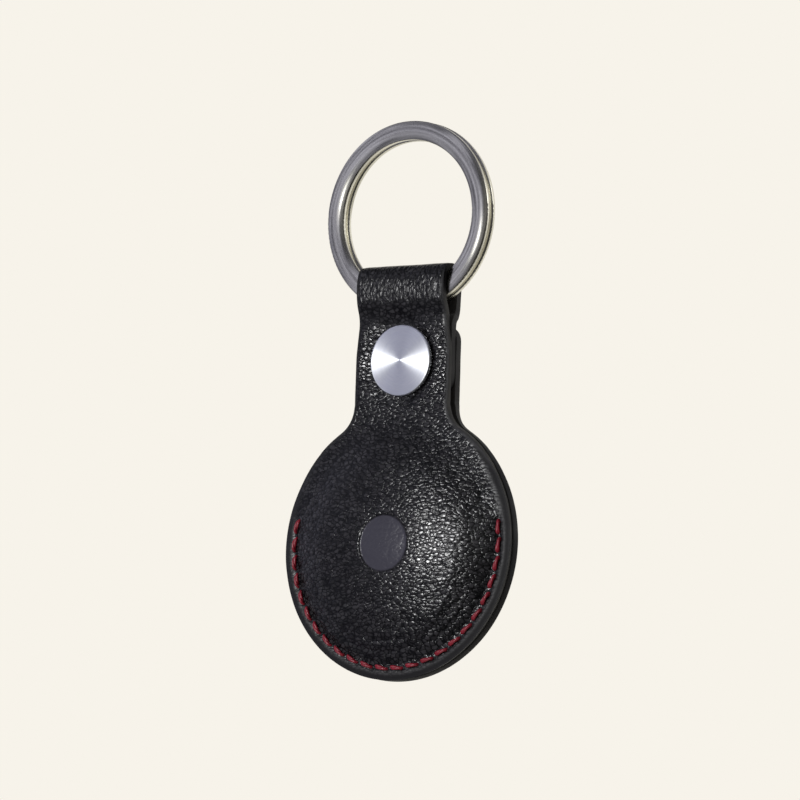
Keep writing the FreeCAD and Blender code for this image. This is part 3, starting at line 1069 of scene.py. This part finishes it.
@dataclass
class LeatherPouch:
    """The leather body: the front with its strap, the back with its flap, and their linings."""

    form: DomeForm = field(default_factory=DomeForm)
    seam: SeamPlan = field(default_factory=SeamPlan)
    radius: float = 21.0
    leather: float = 1.2
    lining: float = 0.25
    lining_gap: float = 0.01
    crown: float = 52.0
    ease_start: float = 12.2
    ease_start_in: float = 0.7
    ease_end: float = 18.4
    ease_end_out: float = 2.4
    foot_lean: float = -0.55
    dome_end: float = 17.2
    outer_depth: float = 1.0
    recess: float = 4.4
    recess_depth: float = 0.2
    cap: float = 5.6
    post: float = 4.0
    neck: float = 8.6
    neck_top: float = 30.0
    fillet: float = 5.0
    strap: float = 8.1
    tail: float = 8.45
    tail_back: float = 0.99
    tail_end: float = 25.9
    tail_corner: float = 3.0
    tongue_end: float = 32.0
    tongue_corner: float = 2.2
    tongue_step: float = 0.79
    socket_hole: float = 4.05
    stud_hole: float = 3.55
    hole_sides: int = 96
    flap_line: float = 6.063
    flap_bend: float = 4.0
    rim_pressed: float = 0.3
    rim_pared: float = 0.25
    edge_drop: float = 0.07
    press_front: float = 0.42
    press_back: float = 0.25
    press_spread: float = 2.9
    press_spread_lost: float = 2.2
    curl_depth: float = 0.25
    crease_depth: float = 0.15

    FLANGE = (21.0, 20.75, 20.4, 19.95, 19.5, 19.1, 18.7, 18.3, 17.9, 17.5)
    LINING_FLANGE = (20.4, 19.8, 19.1, 18.4, 17.8)
    CROWN = (
        12.0, 10.8, 9.6, 8.4, 7.2, 6.1, 5.3, 4.9, 4.65, 4.45, 4.25, 4.0, 3.3, 2.3, 1.2, 0.5,
    )
    RECESS_RIM = (4.6, 4.3)
    UNSEWN = (-5.0, 13.0)
    RIM_OUT, RIM_HIGH = (20.0, 21.2), (17.0, 10.0)
    PRESS_RIGHT, PRESS_CLOSED = (0.0, 5.0), (1.0, 0.2)
    CURL_RIGHT, CURL_LOW, CURL_HIGH = (5.4, 8.4), (21.0, 25.0), (35.0, 31.0)
    SEWN_BODY, STEPPED = (21.6, 20.9), (17.5, 22.5)
    CREASE_HIGH, CREASE_IN, CREASE_OUT = (-4.0, -10.0), (9.0, 12.0), (18.0, 16.6)
    CREASE_SIZE = (2.4, 0.9, 1.0)
    EDGE_SOFT = (0.9, 0.0)
    SOCKET_REACH, STUD_REACH = (-0.2, 2.2), (0.3, 1.34)
    NECK_HEIGHTS, NECK_HALVES = (22.0, 30.0, 35.0, 50.0), (8.6, 8.6, 8.1, 8.1)
    WAVES = ((0.05, 6.0, 0.0), (0.025, 2.2, 40.0))

    def fillet_rows(self, depth: float) -> list[Row]:
        """The rows where the round body runs into the neck.

        Args:
            depth: how deep they lie.

        Returns:
            The rows, upwards.
        """
        steps, flatten = 7, 0.07
        across = self.neck + self.fillet
        high = math.sqrt((self.radius + self.fillet) ** 2 - across**2)
        start = math.atan2(high, across)
        rows = []
        for i in range(1, steps + 1):
            turn = math.pi + start * (1 - i / steps)
            up, half = high + self.fillet * math.sin(turn), across + self.fillet * math.cos(turn)
            rows.append(Row(depth, up, half, 1 - flatten * i))
        return rows

    def neck_rows(self, depth: float, top: float) -> list[Row]:
        """The rows of the neck, from the round body up to a height.

        Args:
            depth: how deep they lie.
            top: the height of the last.

        Returns:
            The rows, upwards.
        """
        step, flatten = 0.75, 1.25
        rows = self.fillet_rows(depth)
        low, arch = rows[-1].height, rows[-1].arch
        count = round((top - low) / step)
        for i in range(1, count + 1):
            height = low + (top - low) * i / count
            rows.append(Row(depth, height, self.neck, arch * max(0.0, 1 - flatten * i / count)))
        return rows

    def corner_rows(self, start: Row, radius: float, way: Way) -> list[Row]:
        """The rows of a rounded end.

        Args:
            start: the last straight row.
            radius: the corners' radius.
            way: which way the end points.

        Returns:
            The rows, towards the end.
        """
        rows = []
        for angle in (math.radians(15 * i) for i in range(1, 7)):
            height = start.height + way.value * radius * math.sin(angle)
            rows.append(Row(start.depth, height, start.half - radius * (1 - math.cos(angle))))
        return rows

    def strap_rows(self) -> list[Row]:
        """The strap's rows: up the front, over the ring's wire and down behind the neck.

        Returns:
            The rows, from the neck to the tail's end.
        """
        step, strap = 0.6, self.strap
        front = [(-1.45, self.neck_top, self.neck), (-1.45, 33.2, 8.28), (-1.5, 34.8, 8.12)]
        front += [(-1.74, 36.2, strap), (-2.26, 37.4, strap)]
        side = [(-2.58, 38.8, strap), (-2.65, 40.2, strap), (-2.6, 41.4, strap)]
        side += [(-2.38, 42.5, strap), (-1.86, 43.38, strap)]
        over = [(-1.05, 43.86, strap), (0.0, 44.0, strap), (1.05, 43.86, strap)]
        back = [(-y, z, half) for y, z, half in reversed(side)]
        back += [(2.5, 36.8, strap), (2.28, 35.8, strap), (1.7, 35.05, 8.25), (1.06, 34.4, 8.4)]
        end = Row(self.tail_back, self.tail_end, self.tail)
        back += [(end.depth, self.neck_top, end.half), (end.depth, end.height, end.half)]
        rows = [Row(*station) for station in smooth_path(front + side + over + back, step)]
        return rows + self.corner_rows(end, self.tail_corner, Way.DOWN)

    def flap_rows(self) -> list[Row]:
        """The back's rows: up the neck and round the tongue's top corners.

        Returns:
            The rows, upwards.
        """
        end = Row(self.form.flange, self.tongue_end, self.neck)
        rows = self.neck_rows(end.depth, end.height)
        return rows + self.corner_rows(end, self.tongue_corner, Way.UP)

    def ease(self, obj: Object, side: Side) -> None:
        """Round the dome and run it down to the seam; farther out at the top, which isn't sewn.

        Args:
            obj: the sheet.
            side: which face of the pouch it is.
        """
        points, _ = points_of(obj)
        x, y, z = points.T
        out = np.hypot(x, z)
        upper = step_up(z, *self.UNSEWN)
        start = self.ease_start - self.ease_start_in * upper
        end = self.ease_end + self.ease_end_out * upper
        reach, old = self.crown, self.form.crown
        high = self.form.apex - reach + np.sqrt(reach * reach - start * start)
        inside = np.minimum(out, start)
        sunk = np.sqrt(reach**2 - inside**2) - reach + old - np.sqrt(old**2 - inside**2)
        points[:, 1] += (out <= start) * side.value * sunk
        t = np.clip((out - start) / (end - start), 0.0, 1.0)
        lean = -start / reach * (end - start)
        foot = self.foot_lean * (1.0 - upper) * (end - start)
        soft = high * (2 * t**3 - 3 * t**2 + 1) + self.form.flange * (3 * t**2 - 2 * t**3)
        soft += lean * (t**3 - 2 * t**2 + t) + foot * (t**3 - t**2)
        eased = (out > start) & (out < end) & (y * side.value > self.outer_depth)
        points[:, 1] += eased * (side.value * soft - y)
        put_points(obj, points)

    def rim(self, points: np.ndarray) -> np.ndarray:
        """How far the sewn rim has been squeezed and pared down at each point, as a share."""
        out = np.hypot(points[:, 0], points[:, 2])
        return step_up(out, *self.RIM_OUT) * step_up(points[:, 2], *self.RIM_HIGH)

    def press(self, points: np.ndarray, side: Side) -> np.ndarray:
        """How deep the snap presses the leather round its rim; farther to the left on the front.

        Args:
            points: places in millimetres.
            side: which face of the pouch they are on.

        Returns:
            The depth at each point.
        """
        rim, depth, spread = self.post, self.press_back, self.press_spread
        if side is Side.FRONT:
            rim, depth = self.cap, self.press_front
            spread = spread - self.press_spread_lost * step_up(points[:, 0], *self.PRESS_RIGHT)
        from_snap = np.hypot(points[:, 0], points[:, 2] - SNAP)
        under = step_up(from_snap, *(rim - inside for inside in self.PRESS_CLOSED))
        return depth * step_up(from_snap, rim + spread, rim) * under

    def curl(self, points: np.ndarray) -> np.ndarray:
        """How far the neck's right edge has curled back beside the snap.

        Args:
            points: places in millimetres.

        Returns:
            The depth at each point.
        """
        x, _, z = points.T
        depth = self.curl_depth * step_up(x, *self.CURL_RIGHT)
        return depth * step_up(z, *self.CURL_LOW) * step_up(z, *self.CURL_HIGH)

    def creases(self, points: np.ndarray) -> np.ndarray:
        """The handling creases round the foot of the dome.

        Args:
            points: places in millimetres.

        Returns:
            The height at each point.
        """
        round_scale, layer = 5.0, 7.0
        x, _, z = points.T
        out = np.hypot(x, z)
        low = step_up(z, *self.CREASE_HIGH) * step_up(out, *self.CREASE_IN)
        low = low * step_up(out, *self.CREASE_OUT)
        turn = np.arctan2(x, -z) * round_scale
        unrolled = np.column_stack([turn, out, np.full_like(out, layer)])
        return self.crease_depth * low * grain_noise(unrolled, self.CREASE_SIZE)

    def from_outline(self, points: np.ndarray) -> np.ndarray:
        """Roughly how far points are from the sheet's outline; far off where two outlines meet.

        Args:
            points: places in millimetres.

        Returns:
            The distance at each point.
        """
        neck_low, meet_low, far = self.NECK_HEIGHTS[0], 15.0, 9.0
        x, _, z = points.T
        across = np.interp(z, self.NECK_HEIGHTS, self.NECK_HALVES) - np.abs(x)
        edge = np.where(z > neck_low, across, self.radius - np.hypot(x, z))
        return np.where((z > meet_low) & (z <= neck_low), far, edge)

    def worked(self, obj: Object, side: Side) -> np.ndarray:
        """Work the sheet by hand: soft edges, sewn hollows, creases and a gentle unevenness.

        Args:
            obj: the sheet.
            side: which face of the pouch it is.

        Returns:
            The points, in millimetres.
        """
        points, normals = points_of(obj)
        x, y, z = points.T
        out = np.hypot(x, z)
        outer = y * side.value > self.outer_depth
        lift = sum(h * grain_noise(points + shift, (w, w, w)) for h, w, shift in self.WAVES)
        lift -= self.seam.hollow(points) * step_up(out, *self.SEWN_BODY) * outer
        lift += self.creases(points)
        lift -= self.edge_drop * step_up(self.from_outline(points), *self.EDGE_SOFT)
        lift -= self.rim_pressed * self.rim(points)
        lift -= self.press(points, side) * outer
        if side is Side.FRONT:
            lift -= self.curl(points) * outer
        points = points + normals * lift[:, None]
        if side is Side.BACK:
            past_dome = out > self.dome_end
            points[:, 1] += self.tongue_step * step_up(z, *self.STEPPED) * past_dome
        return points

    def shaped(self, sheet: LeatherSheet) -> tuple[Object, np.ndarray]:
        """Draw a leather sheet and work it into shape.

        Args:
            sheet: its plan.

        Returns:
            The sheet, still without thickness, and its points in millimetres.
        """
        obj = sheet.cage()
        sheet.refine(obj)
        self.ease(obj, sheet.side)
        sheet.mark_edge(obj)
        points = self.worked(obj, sheet.side)
        put_points(obj, points)
        return obj, points

    def punch(self, obj: Object, radius: float, front: float, back: float) -> None:
        """Cut a round hole that a piece of the snap sits in.

        Args:
            obj: the leather.
            radius: the hole's radius.
            front: where the hole starts, in depth.
            back: where it ends.
        """
        clear_selection()
        bpy.ops.mesh.primitive_cylinder_add(
            vertices=self.hole_sides, radius=radius * MM, depth=(back - front) * MM,
            location=in_frame(0, (front + back) / 2, SNAP), rotation=(math.pi / 2, 0, 0),
        )
        drill = bpy.context.object
        modify(obj, "BOOLEAN", object=drill, operation="DIFFERENCE", solver="EXACT")
        bpy.data.objects.remove(drill)

    def build_front(self) -> Object:
        """Model the front leather with its strap, fold and tail.

        Returns:
            The leather.
        """
        tail_front, tail_low, neck_low = -0.4, 21.5, 15.0
        tail_fold, tail_thin = (35.0, 38.0), (0.96, 0.86)
        strap_fold, strap_thin = (34.0, 38.0), (1.0, 0.86)
        rings = [
            (r, d - self.recess_depth * float(step_up(np.array(r), *self.RECESS_RIM)))
            for r, d in self.form.rings(0.0, self.FLANGE, self.CROWN)
        ]
        rows = self.neck_rows(-self.form.flange, self.neck_top) + self.strap_rows()
        sheet = LeatherSheet("front_leather", Side.FRONT, rings, rows, self.leather)
        obj, points = self.shaped(sheet)
        y, z = points[:, 1], points[:, 2]
        tail = (y > tail_front) & (z > tail_low)
        thin = np.interp(z, strap_fold, strap_thin)
        thin = np.where(tail, np.interp(z, tail_fold, tail_thin), thin)
        squeezed = self.press(points, Side.FRONT) + self.curl(points)
        squeezed = np.where(tail, 0.0, squeezed) / self.leather * (z > neck_low)
        sheet.thicken(obj, thin * (1.0 - self.rim_pared * self.rim(points)) - squeezed)
        self.punch(obj, self.socket_hole, *self.SOCKET_REACH)
        sheet.keep_rest(obj)
        return obj

    def build_back(self) -> Object:
        """Model the back leather with its flap and tongue.

        Returns:
            The leather.
        """
        rings = self.form.rings(0.0, self.FLANGE, self.CROWN)
        sheet = LeatherSheet("back_leather", Side.BACK, rings, self.flap_rows(), self.leather)
        obj, points = self.shaped(sheet)
        squeezed = self.press(points, Side.BACK) / self.leather
        sheet.thicken(obj, 1.0 - self.rim_pared * self.rim(points) - squeezed)
        self.punch(obj, self.stud_hole, *self.STUD_REACH)
        sheet.keep_rest(obj)
        return obj

    def build_lining(self, name: str, side: Side) -> Object:
        """Model one lining, close under the leather.

        Args:
            name: the lining's name.
            side: which face of the pouch it is under.

        Returns:
            The lining.
        """
        offset = self.leather + self.lining_gap
        rings = self.form.rings(offset, self.LINING_FLANGE, self.CROWN[::3])
        thickness = self.lining - 2 * self.lining_gap
        sheet = LeatherSheet(name, side, rings, thickness=thickness, edge_round=0.0)
        obj = sheet.cage()
        sheet.refine(obj)
        sheet.thicken(obj, np.ones(len(obj.data.vertices)))
        sheet.keep_rest(obj)
        return obj

    def build(self, groups: Groups) -> None:
        """Build and dress the leather pieces, and hang the front lining on the pouch's body.

        Args:
            groups: the shared effects.
        """
        edge = PaintedEdge().make(groups)
        flesh = FibrousFinish(
            "flesh_side", (0.012, 0.012, 0.013, 1.0), (0.03, 0.029, 0.03, 1.0)
        ).make(groups)
        suede = FibrousFinish(
            "lining_suede", (0.008, 0.008, 0.009, 1.0), (0.022, 0.021, 0.022, 1.0), 11.0
        ).make(groups)

        front = self.build_front()
        dress(front, PebbledLeather("front_grain", self.recess).make(groups), flesh, edge)
        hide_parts("front_panel", "strap_loop", "strap_tail")
        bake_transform(front)
        log.info("front leather: %d faces", len(front.data.polygons))

        back = self.build_back()
        dress(back, PebbledLeather("back_grain", fold=60.0).make(groups), flesh, edge)
        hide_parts("back_panel", "back_flap")
        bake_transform(back)
        log.info("back leather: %d faces", len(back.data.polygons))

        front_lining = self.build_lining("front_suede", Side.FRONT)
        dress(front_lining, suede, suede, suede)
        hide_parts("front_lining")
        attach(front_lining, "pouch")
        log.info("front lining")

        back_lining = self.build_lining("back_suede", Side.BACK)
        dress(back_lining, suede, suede, suede)
        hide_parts("back_lining", "flap_lining")
        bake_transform(back_lining)
        log.info("back lining")


@dataclass
class SeamThread:
    """The two red threads of the lower seam, each stitch a twist of two plies."""

    plan: SeamPlan = field(default_factory=SeamPlan)
    surface: float = 1.45
    ply: float = 0.245
    twist_radius: float = 0.12
    twist_pitch: float = 4.6
    overhang: float = 0.16
    crest: float = 0.22
    step: float = 0.14

    RISE = ((0.0, -0.8), (0.01, -0.3), (0.16, 0.04), (0.5, 0.17))

    def stitch(self, side: Side) -> Object:
        """Model one stitch at the seam's lowest place.

        Args:
            side: the face that it shows on.

        Returns:
            The stitch as a mesh.
        """
        clear_selection()
        curve = bpy.data.curves.new("stitch", "CURVE")
        curve.dimensions = "3D"
        curve.bevel_depth = self.ply * MM
        curve.bevel_resolution = 1
        curve.resolution_u = 1
        curve.use_fill_caps = True
        half = self.plan.span / 2 + self.overhang
        rise = [(u - half, lift) for u, lift in self.RISE]
        path = rise + [(0.0, self.crest)] + [(-u, lift) for u, lift in reversed(rise)]
        line = smooth_path(path, self.step)
        slope = np.gradient(line, axis=0)
        slope /= np.linalg.norm(slope, axis=1)[:, None]
        gone = np.concatenate([[0.0], np.cumsum(np.linalg.norm(np.diff(line, axis=0), axis=1))])
        c, s = math.cos(self.plan.slant), math.sin(self.plan.slant)
        for phase in (0.0, math.pi):
            spline = curve.splines.new("NURBS")
            spline.points.add(len(line) - 1)
            spline.order_u = 3
            spline.use_endpoint_u = True
            for point, (u, lift), (du, dl), length in zip(spline.points, line, slope, gone):
                turn = phase + 2 * math.pi * length / self.twist_pitch
                up = self.twist_radius * math.cos(turn)
                over = self.twist_radius * math.sin(turn)
                along = u - dl * up
                out = side.value * (self.surface + lift + du * up)
                z = -self.plan.radius - along * s + over * c
                point.co = (*in_frame(along * c + over * s, out, z), 1.0)
        work_on(into_scene("stitch", curve))
        bpy.ops.object.convert(target="MESH")
        return bpy.context.object

    def seam(self, name: str, side: Side) -> Object:
        """Copy the stitch round the seam and join the copies.

        Args:
            name: the thread's name.
            side: the face that it shows on.

        Returns:
            The thread.
        """
        first = self.stitch(side)
        middle = Matrix.Translation(in_frame(0, 0, 0))
        copies = []
        for i in range(self.plan.count):
            along = self.plan.pitch * (i - (self.plan.count - 1) / 2) + self.plan.lead
            turn = Matrix.Rotation(along / self.plan.radius, 4, "Y")
            copy = into_scene("stitch", first.data.copy())
            copy.data.transform(middle @ turn @ middle.inverted())
            copies.append(copy)
        bpy.data.objects.remove(first)
        clear_selection()
        for copy in copies:
            copy.select_set(True)
        bpy.context.view_layer.objects.active = copies[0]
        bpy.ops.object.join()
        obj = bpy.context.object
        obj.name = name
        obj.data.name = name
        bpy.ops.object.shade_smooth()
        return obj

    def build(self, groups: Groups) -> None:
        """Build and dress both threads.

        Args:
            groups: the shared effects.
        """
        finish = FibrousFinish(
            "red_thread", (0.035, 0.0006, 0.0025, 1.0), (0.26, 0.008, 0.024, 1.0),
            fibres=14.0, detail=3.0, patch_share=0.4, fibre_share=0.8,
            rough=(0.2, 0.8, 0.3, 0.5), depth=0.03, sheen=0.0, bends=False,
        ).make(groups)
        for name, side, node in (
            ("front_thread", Side.FRONT, "front_stitches"),
            ("back_thread", Side.BACK, "back_stitches"),
        ):
            obj = self.seam(name, side)
            dress(obj, finish)
            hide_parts(node)
            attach(obj, "pouch")
            log.info("%s: %d faces", name, len(obj.data.polygons))


# Metal and the tag, which keep the part's own shapes


def dress_nodes(groups: Groups, pieces: dict[str, TurnedMetal | MouldedPlastic]) -> None:
    """Give the part's own pieces their finishes.

    Args:
        groups: the shared effects.
        pieces: the finish of each node.
    """
    made = {finish: finish.make(groups) for finish in dict.fromkeys(pieces.values())}
    for name, finish in pieces.items():
        dress(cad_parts[name], made[finish])
        log.info("%s dressed", name)


@dataclass
class Metalwork:
    """The split ring and the snap."""

    middle_reach: float = 0.05

    def face_middle(self, obj: Object) -> None:
        """Make the shading at the middle of a turned face look straight out.

        Args:
            obj: a piece of the snap, turned about the snap's middle.
        """
        mesh = obj.data
        middle = in_frame(0, 0, SNAP)
        normals = [tuple(corner.vector) for corner in mesh.corner_normals]
        for face in mesh.polygons:
            for i in face.loop_indices:
                place = mesh.vertices[mesh.loops[i].vertex_index].co
                if math.hypot(place.x, place.z - middle.z) < self.middle_reach * MM:
                    normals[i] = (0.0, math.copysign(1.0, face.normal.y), 0.0)
        mesh.normals_split_custom_set(normals)

    def build(self, groups: Groups) -> None:
        """Dress the metal pieces.

        Args:
            groups: the shared effects.
        """
        ring = TurnedMetal(
            "ring_steel", RING_CENTRE, (0.5, 0.488, 0.425, 1.0), (0.74, 0.723, 0.635, 1.0),
            face_rough=0.21, wall_rough=0.3, mark=0.0008, brushed=0.4,
        )
        cap = TurnedMetal(
            "spun_cap", SNAP, (0.88, 0.905, 0.94, 1.0), (0.94, 0.96, 0.98, 1.0),
            face_rough=0.42, wall_rough=0.25, rings=9.0, mark=0.0003, brushed=0.9,
        )
        plated = TurnedMetal(
            "snap_plating", SNAP, (0.5, 0.5, 0.5, 1.0), (0.62, 0.62, 0.62, 1.0), 0.3, 0.24
        )
        spring = TurnedMetal(
            "spring_wire", SNAP, (0.4, 0.4, 0.42, 1.0), (0.55, 0.55, 0.57, 1.0), 0.28, 0.28
        )
        dress_nodes(groups, {
            "key_ring": ring, "snap_cap": cap, "snap_socket": plated, "snap_stud": plated,
            "snap_post": plated, "snap_spring": spring,
        })
        for name in ("snap_cap", "snap_post"):
            self.face_middle(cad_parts[name])


@dataclass
class CoinTag:
    """The tracker tag in the pocket."""

    def build(self, groups: Groups) -> None:
        """Dress the tag's pieces.

        Args:
            groups: the shared effects.
        """
        shell = MouldedPlastic("tag_shell", (0.72, 0.72, 0.7, 1.0), (0.8, 0.8, 0.78, 1.0), 0.3)
        lid = TurnedMetal(
            "tag_lid_steel", 0.0, (0.5, 0.5, 0.5, 1.0), (0.66, 0.66, 0.66, 1.0),
            face_rough=0.18, rings=10.0, mark=0.002,
        )
        tray = MouldedPlastic(
            "tray_plastic", (0.05, 0.05, 0.055, 1.0), (0.08, 0.08, 0.085, 1.0), 0.5
        )
        board = MouldedPlastic(
            "board_mask", (0.005, 0.05, 0.03, 1.0), (0.01, 0.08, 0.045, 1.0), 0.4
        )
        cell = TurnedMetal(
            "cell_steel", 0.0, (0.52, 0.52, 0.5, 1.0), (0.66, 0.66, 0.64, 1.0), 0.3, 0.24
        )
        speaker = MouldedPlastic(
            "speaker_can", (0.02, 0.02, 0.02, 1.0), (0.05, 0.05, 0.05, 1.0), 0.45
        )
        dress_nodes(groups, {
            "tag_front_cover": shell, "tag_back_case": shell, "tag_battery_cover": lid,
            "tag_tray": tray, "tag_circuit_board": board, "tag_battery": cell,
            "tag_speaker": speaker,
        })


# Studio


def looking_back(turn: float, rise: float) -> Vector:
    """The direction to a place, in degrees right of the part's front and above the horizon."""
    a, e = math.radians(turn), math.radians(rise)
    return Vector((math.sin(a) * math.cos(e), -math.cos(a) * math.cos(e), math.sin(e)))


@dataclass(frozen=True)
class Softbox:
    """A soft lamp, placed about the part as seen from above and from the side."""

    name: str
    turn: float
    rise: float
    away: float
    width: float
    height: float
    watts: float

    def hang(self, target: Vector) -> Object:
        """Add the lamp, turned to the target.

        Args:
            target: what it lights.

        Returns:
            The lamp.
        """
        lamp = bpy.data.lights.new(self.name, "AREA")
        lamp.shape = "RECTANGLE"
        lamp.size = self.width
        lamp.size_y = self.height
        lamp.energy = self.watts
        obj = into_scene(self.name, lamp)
        back = looking_back(self.turn, self.rise)
        obj.location = target + back * self.away
        obj.rotation_euler = back.to_track_quat("Z", "Y").to_euler()
        obj.visible_camera = False
        return obj


@dataclass
class Studio:
    """Camera, lamps, pale world and floor."""

    PIXELS_PER_MM = 6.44

    turn: float = 34.27
    rise: float = -6.94
    roll: float = 1.72
    away: float = 2000.0
    zoom: float = 0.2898
    sensor: float = 36.0
    aim_height: float = 20.0
    aim_right: float = -5.2 / PIXELS_PER_MM
    aim_up: float = 18.45 / PIXELS_PER_MM
    pale: Colour = (0.9301, 0.8963, 0.8228, 1.0)
    world_light: float = 0.32
    floor_drop: float = 0.45
    floor_size: float = 8.0
    floor_glow: float = 0.58
    target: float = 18.0
    screen_away: float = 1.3
    screen_edge: float = -6.0
    screen_top: float = 42.0
    screen_foot: float = -75.0
    screen_open: float = 120.0
    patches: float = 0.0045
    key: Softbox = Softbox("key", -11.0, 4.0, 0.7, 0.085, 0.075, 4.0)
    rim: Softbox = Softbox("rim", 120.0, 20.0, 0.8, 0.2, 0.4, 1.5)

    METAL_WATTS = {"key_ring": 0.14, "snap_cap": 1.4}
    SCREEN_PATCH = (0.38, 0.62)
    SCREEN_LOW, SCREEN_HIGH = (-500.0, 150.0, 0.4, 1.0), (500.0, 1100.0, 1.0, 0.35)

    def camera(self) -> None:
        """Place the camera where the photograph was taken from."""
        back = looking_back(self.turn, self.rise)
        level = looking_back(self.turn + 90.0, 0.0)
        rise = back.cross(level)
        c, s = math.cos(math.radians(self.roll)), math.sin(math.radians(self.roll))
        right = level * c + rise * s
        up = rise * c - level * s
        data = bpy.data.cameras.new("camera")
        data.lens = self.zoom * self.away
        data.sensor_width = self.sensor
        obj = into_scene("camera", data)
        aim = in_frame(0, 0, self.aim_height) + (right * self.aim_right + up * self.aim_up) * MM
        turned = Matrix((right, up, back)).transposed().to_4x4()
        obj.matrix_world = Matrix.Translation(aim + back * self.away * MM) @ turned
        bpy.context.scene.camera = obj

    def world(self) -> None:
        """A pale world that the camera and shiny surfaces see, and a softer light for the rest."""
        world = bpy.data.worlds.new("studio")
        world.use_nodes = True
        bpy.context.scene.world = world
        board = Board(world.node_tree)
        seen = world.node_tree.nodes["Background"]
        light = board.add("ShaderNodeBackground")
        board.fill(seen, Color=self.pale, Strength=1.0)
        board.fill(light, Color=self.pale, Strength=self.world_light)
        rays = board.add("ShaderNodeLightPath").outputs
        shiny = board.math("MAXIMUM", rays["Is Glossy Ray"], rays["Is Transmission Ray"])
        direct = board.math("MAXIMUM", rays["Is Camera Ray"], shiny)
        mix = board.add("ShaderNodeMixShader")
        board.fill_in_order(mix, (direct, light.outputs[0], seen.outputs[0]))
        board.fill(world.node_tree.nodes["World Output"], Surface=mix.outputs[0])

    def floor(self, groups: Groups) -> None:
        """A plain pale floor, well below the hanging part.

        Args:
            groups: the shared effects.
        """
        clear_selection()
        bpy.ops.mesh.primitive_plane_add(size=self.floor_size, location=(0, 0, -self.floor_drop))
        obj = bpy.context.object
        obj.name = "floor"
        settle(obj)
        paper = MouldedPlastic(
            "floor_paper", (0.84, 0.81, 0.745, 1.0), (0.86, 0.83, 0.765, 1.0), 0.9
        ).make(groups)
        board = Board(paper.node_tree)
        seen = board.add("ShaderNodeLightPath").outputs["Is Camera Ray"]
        board.fill(
            paper.node_tree.nodes["Principled BSDF"],
            Emission_Color=self.pale,
            Emission_Strength=board.math("MULTIPLY", seen, self.floor_glow),
        )
        dress(obj, paper)
        obj.visible_glossy = False

    def screen_finish(self, name: str, dark: Colour, pale: Colour) -> Material:
        """A glowing screen, uneven as a studio's walls are, and darker overhead and below.

        Args:
            name: the material's name.
            dark: its darkest patches.
            pale: its palest patches.

        Returns:
            The material.
        """
        material = bpy.data.materials.new(name)
        material.use_nodes = True
        material.cycles.emission_sampling = "NONE"
        board = Board(material.node_tree)
        place = board.about(self.target)
        patch = board.graded(board.lumps(place, self.patches, 1.0), *self.SCREEN_PATCH)
        height = board.parts(place)[2]
        low, high = (board.graded(height, *ends) for ends in (self.SCREEN_LOW, self.SCREEN_HIGH))
        glow = board.add("ShaderNodeEmission")
        colour = board.mixed(patch, dark, pale)
        board.fill(glow, Color=colour, Strength=board.math("MULTIPLY", low, high))
        board.fill(material.node_tree.nodes["Material Output"], Surface=glow.outputs[0])
        return material

    def screen(self) -> None:
        """Screens that only shiny surfaces see: cool left and overhead, dark right, open behind."""
        clear_selection()
        middle = in_frame(0, 0, self.target)
        bpy.ops.mesh.primitive_uv_sphere_add(
            segments=72, ring_count=36, radius=self.screen_away, location=middle
        )
        obj = bpy.context.object
        obj.name = "screen"
        settle(obj)
        cool = self.screen_finish("cool_screen", (0.07, 0.07, 0.1, 1.0), (0.7, 0.7, 0.88, 1.0))
        dark = self.screen_finish(
            "dark_screen", (0.03, 0.03, 0.032, 1.0), (0.17, 0.166, 0.166, 1.0)
        )
        dress(obj, cool, dark)
        bpy.ops.object.mode_set(mode="EDIT")
        bpy.ops.mesh.select_all(action="DESELECT")
        shell = bmesh.from_edit_mesh(obj.data)
        for face in shell.faces:
            way = (face.calc_center_median() - middle).normalized()
            turn = math.degrees(math.atan2(way.x, -way.y))
            rise = math.degrees(math.asin(way.z))
            wall = rise < self.screen_top
            face.material_index = 1 if turn > self.screen_edge and wall else 0
            face.select_set(rise < self.screen_foot or (abs(turn) > self.screen_open and wall))
        bmesh.update_edit_mesh(obj.data)
        bpy.ops.mesh.delete(type="FACE")
        bpy.ops.object.mode_set(mode="OBJECT")
        obj.visible_camera = obj.visible_diffuse = obj.visible_shadow = False

    def lamps(self) -> None:
        """Hang the lamps; the key is dimmed on the metal, so that its highlights don't clip."""
        target = in_frame(0, 0, self.target)
        self.rim.hang(target)
        spared = bpy.data.collections.new("spared_by_key")
        self.key.hang(target).light_linking.receiver_collection = spared
        for name, watts in self.METAL_WATTS.items():
            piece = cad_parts[name]
            spared.objects.link(piece)
            own = bpy.data.collections.new(f"key_on_{name}")
            own.objects.link(piece)
            dimmed = replace(self.key, name=own.name, watts=watts).hang(target)
            dimmed.light_linking.receiver_collection = own
        for link in spared.collection_objects:
            link.light_linking.link_state = "EXCLUDE"

    def build(self, groups: Groups) -> None:
        """Set up the studio.

        Args:
            groups: the shared effects.
        """
        bpy.context.scene.view_settings.view_transform = "Standard"
        self.camera()
        self.world()
        self.floor(groups)
        self.screen()
        self.lamps()


def main() -> None:
    """Build the sub-assemblies in order."""
    logging.basicConfig(level=logging.INFO)
    groups = Groups()
    for assembly in (LeatherPouch(), SeamThread(), Metalwork(), CoinTag(), Studio()):
        log.info("building %s", type(assembly).__name__)
        assembly.build(groups)
    clear_selection()


if __name__ == "__main__":
    main()
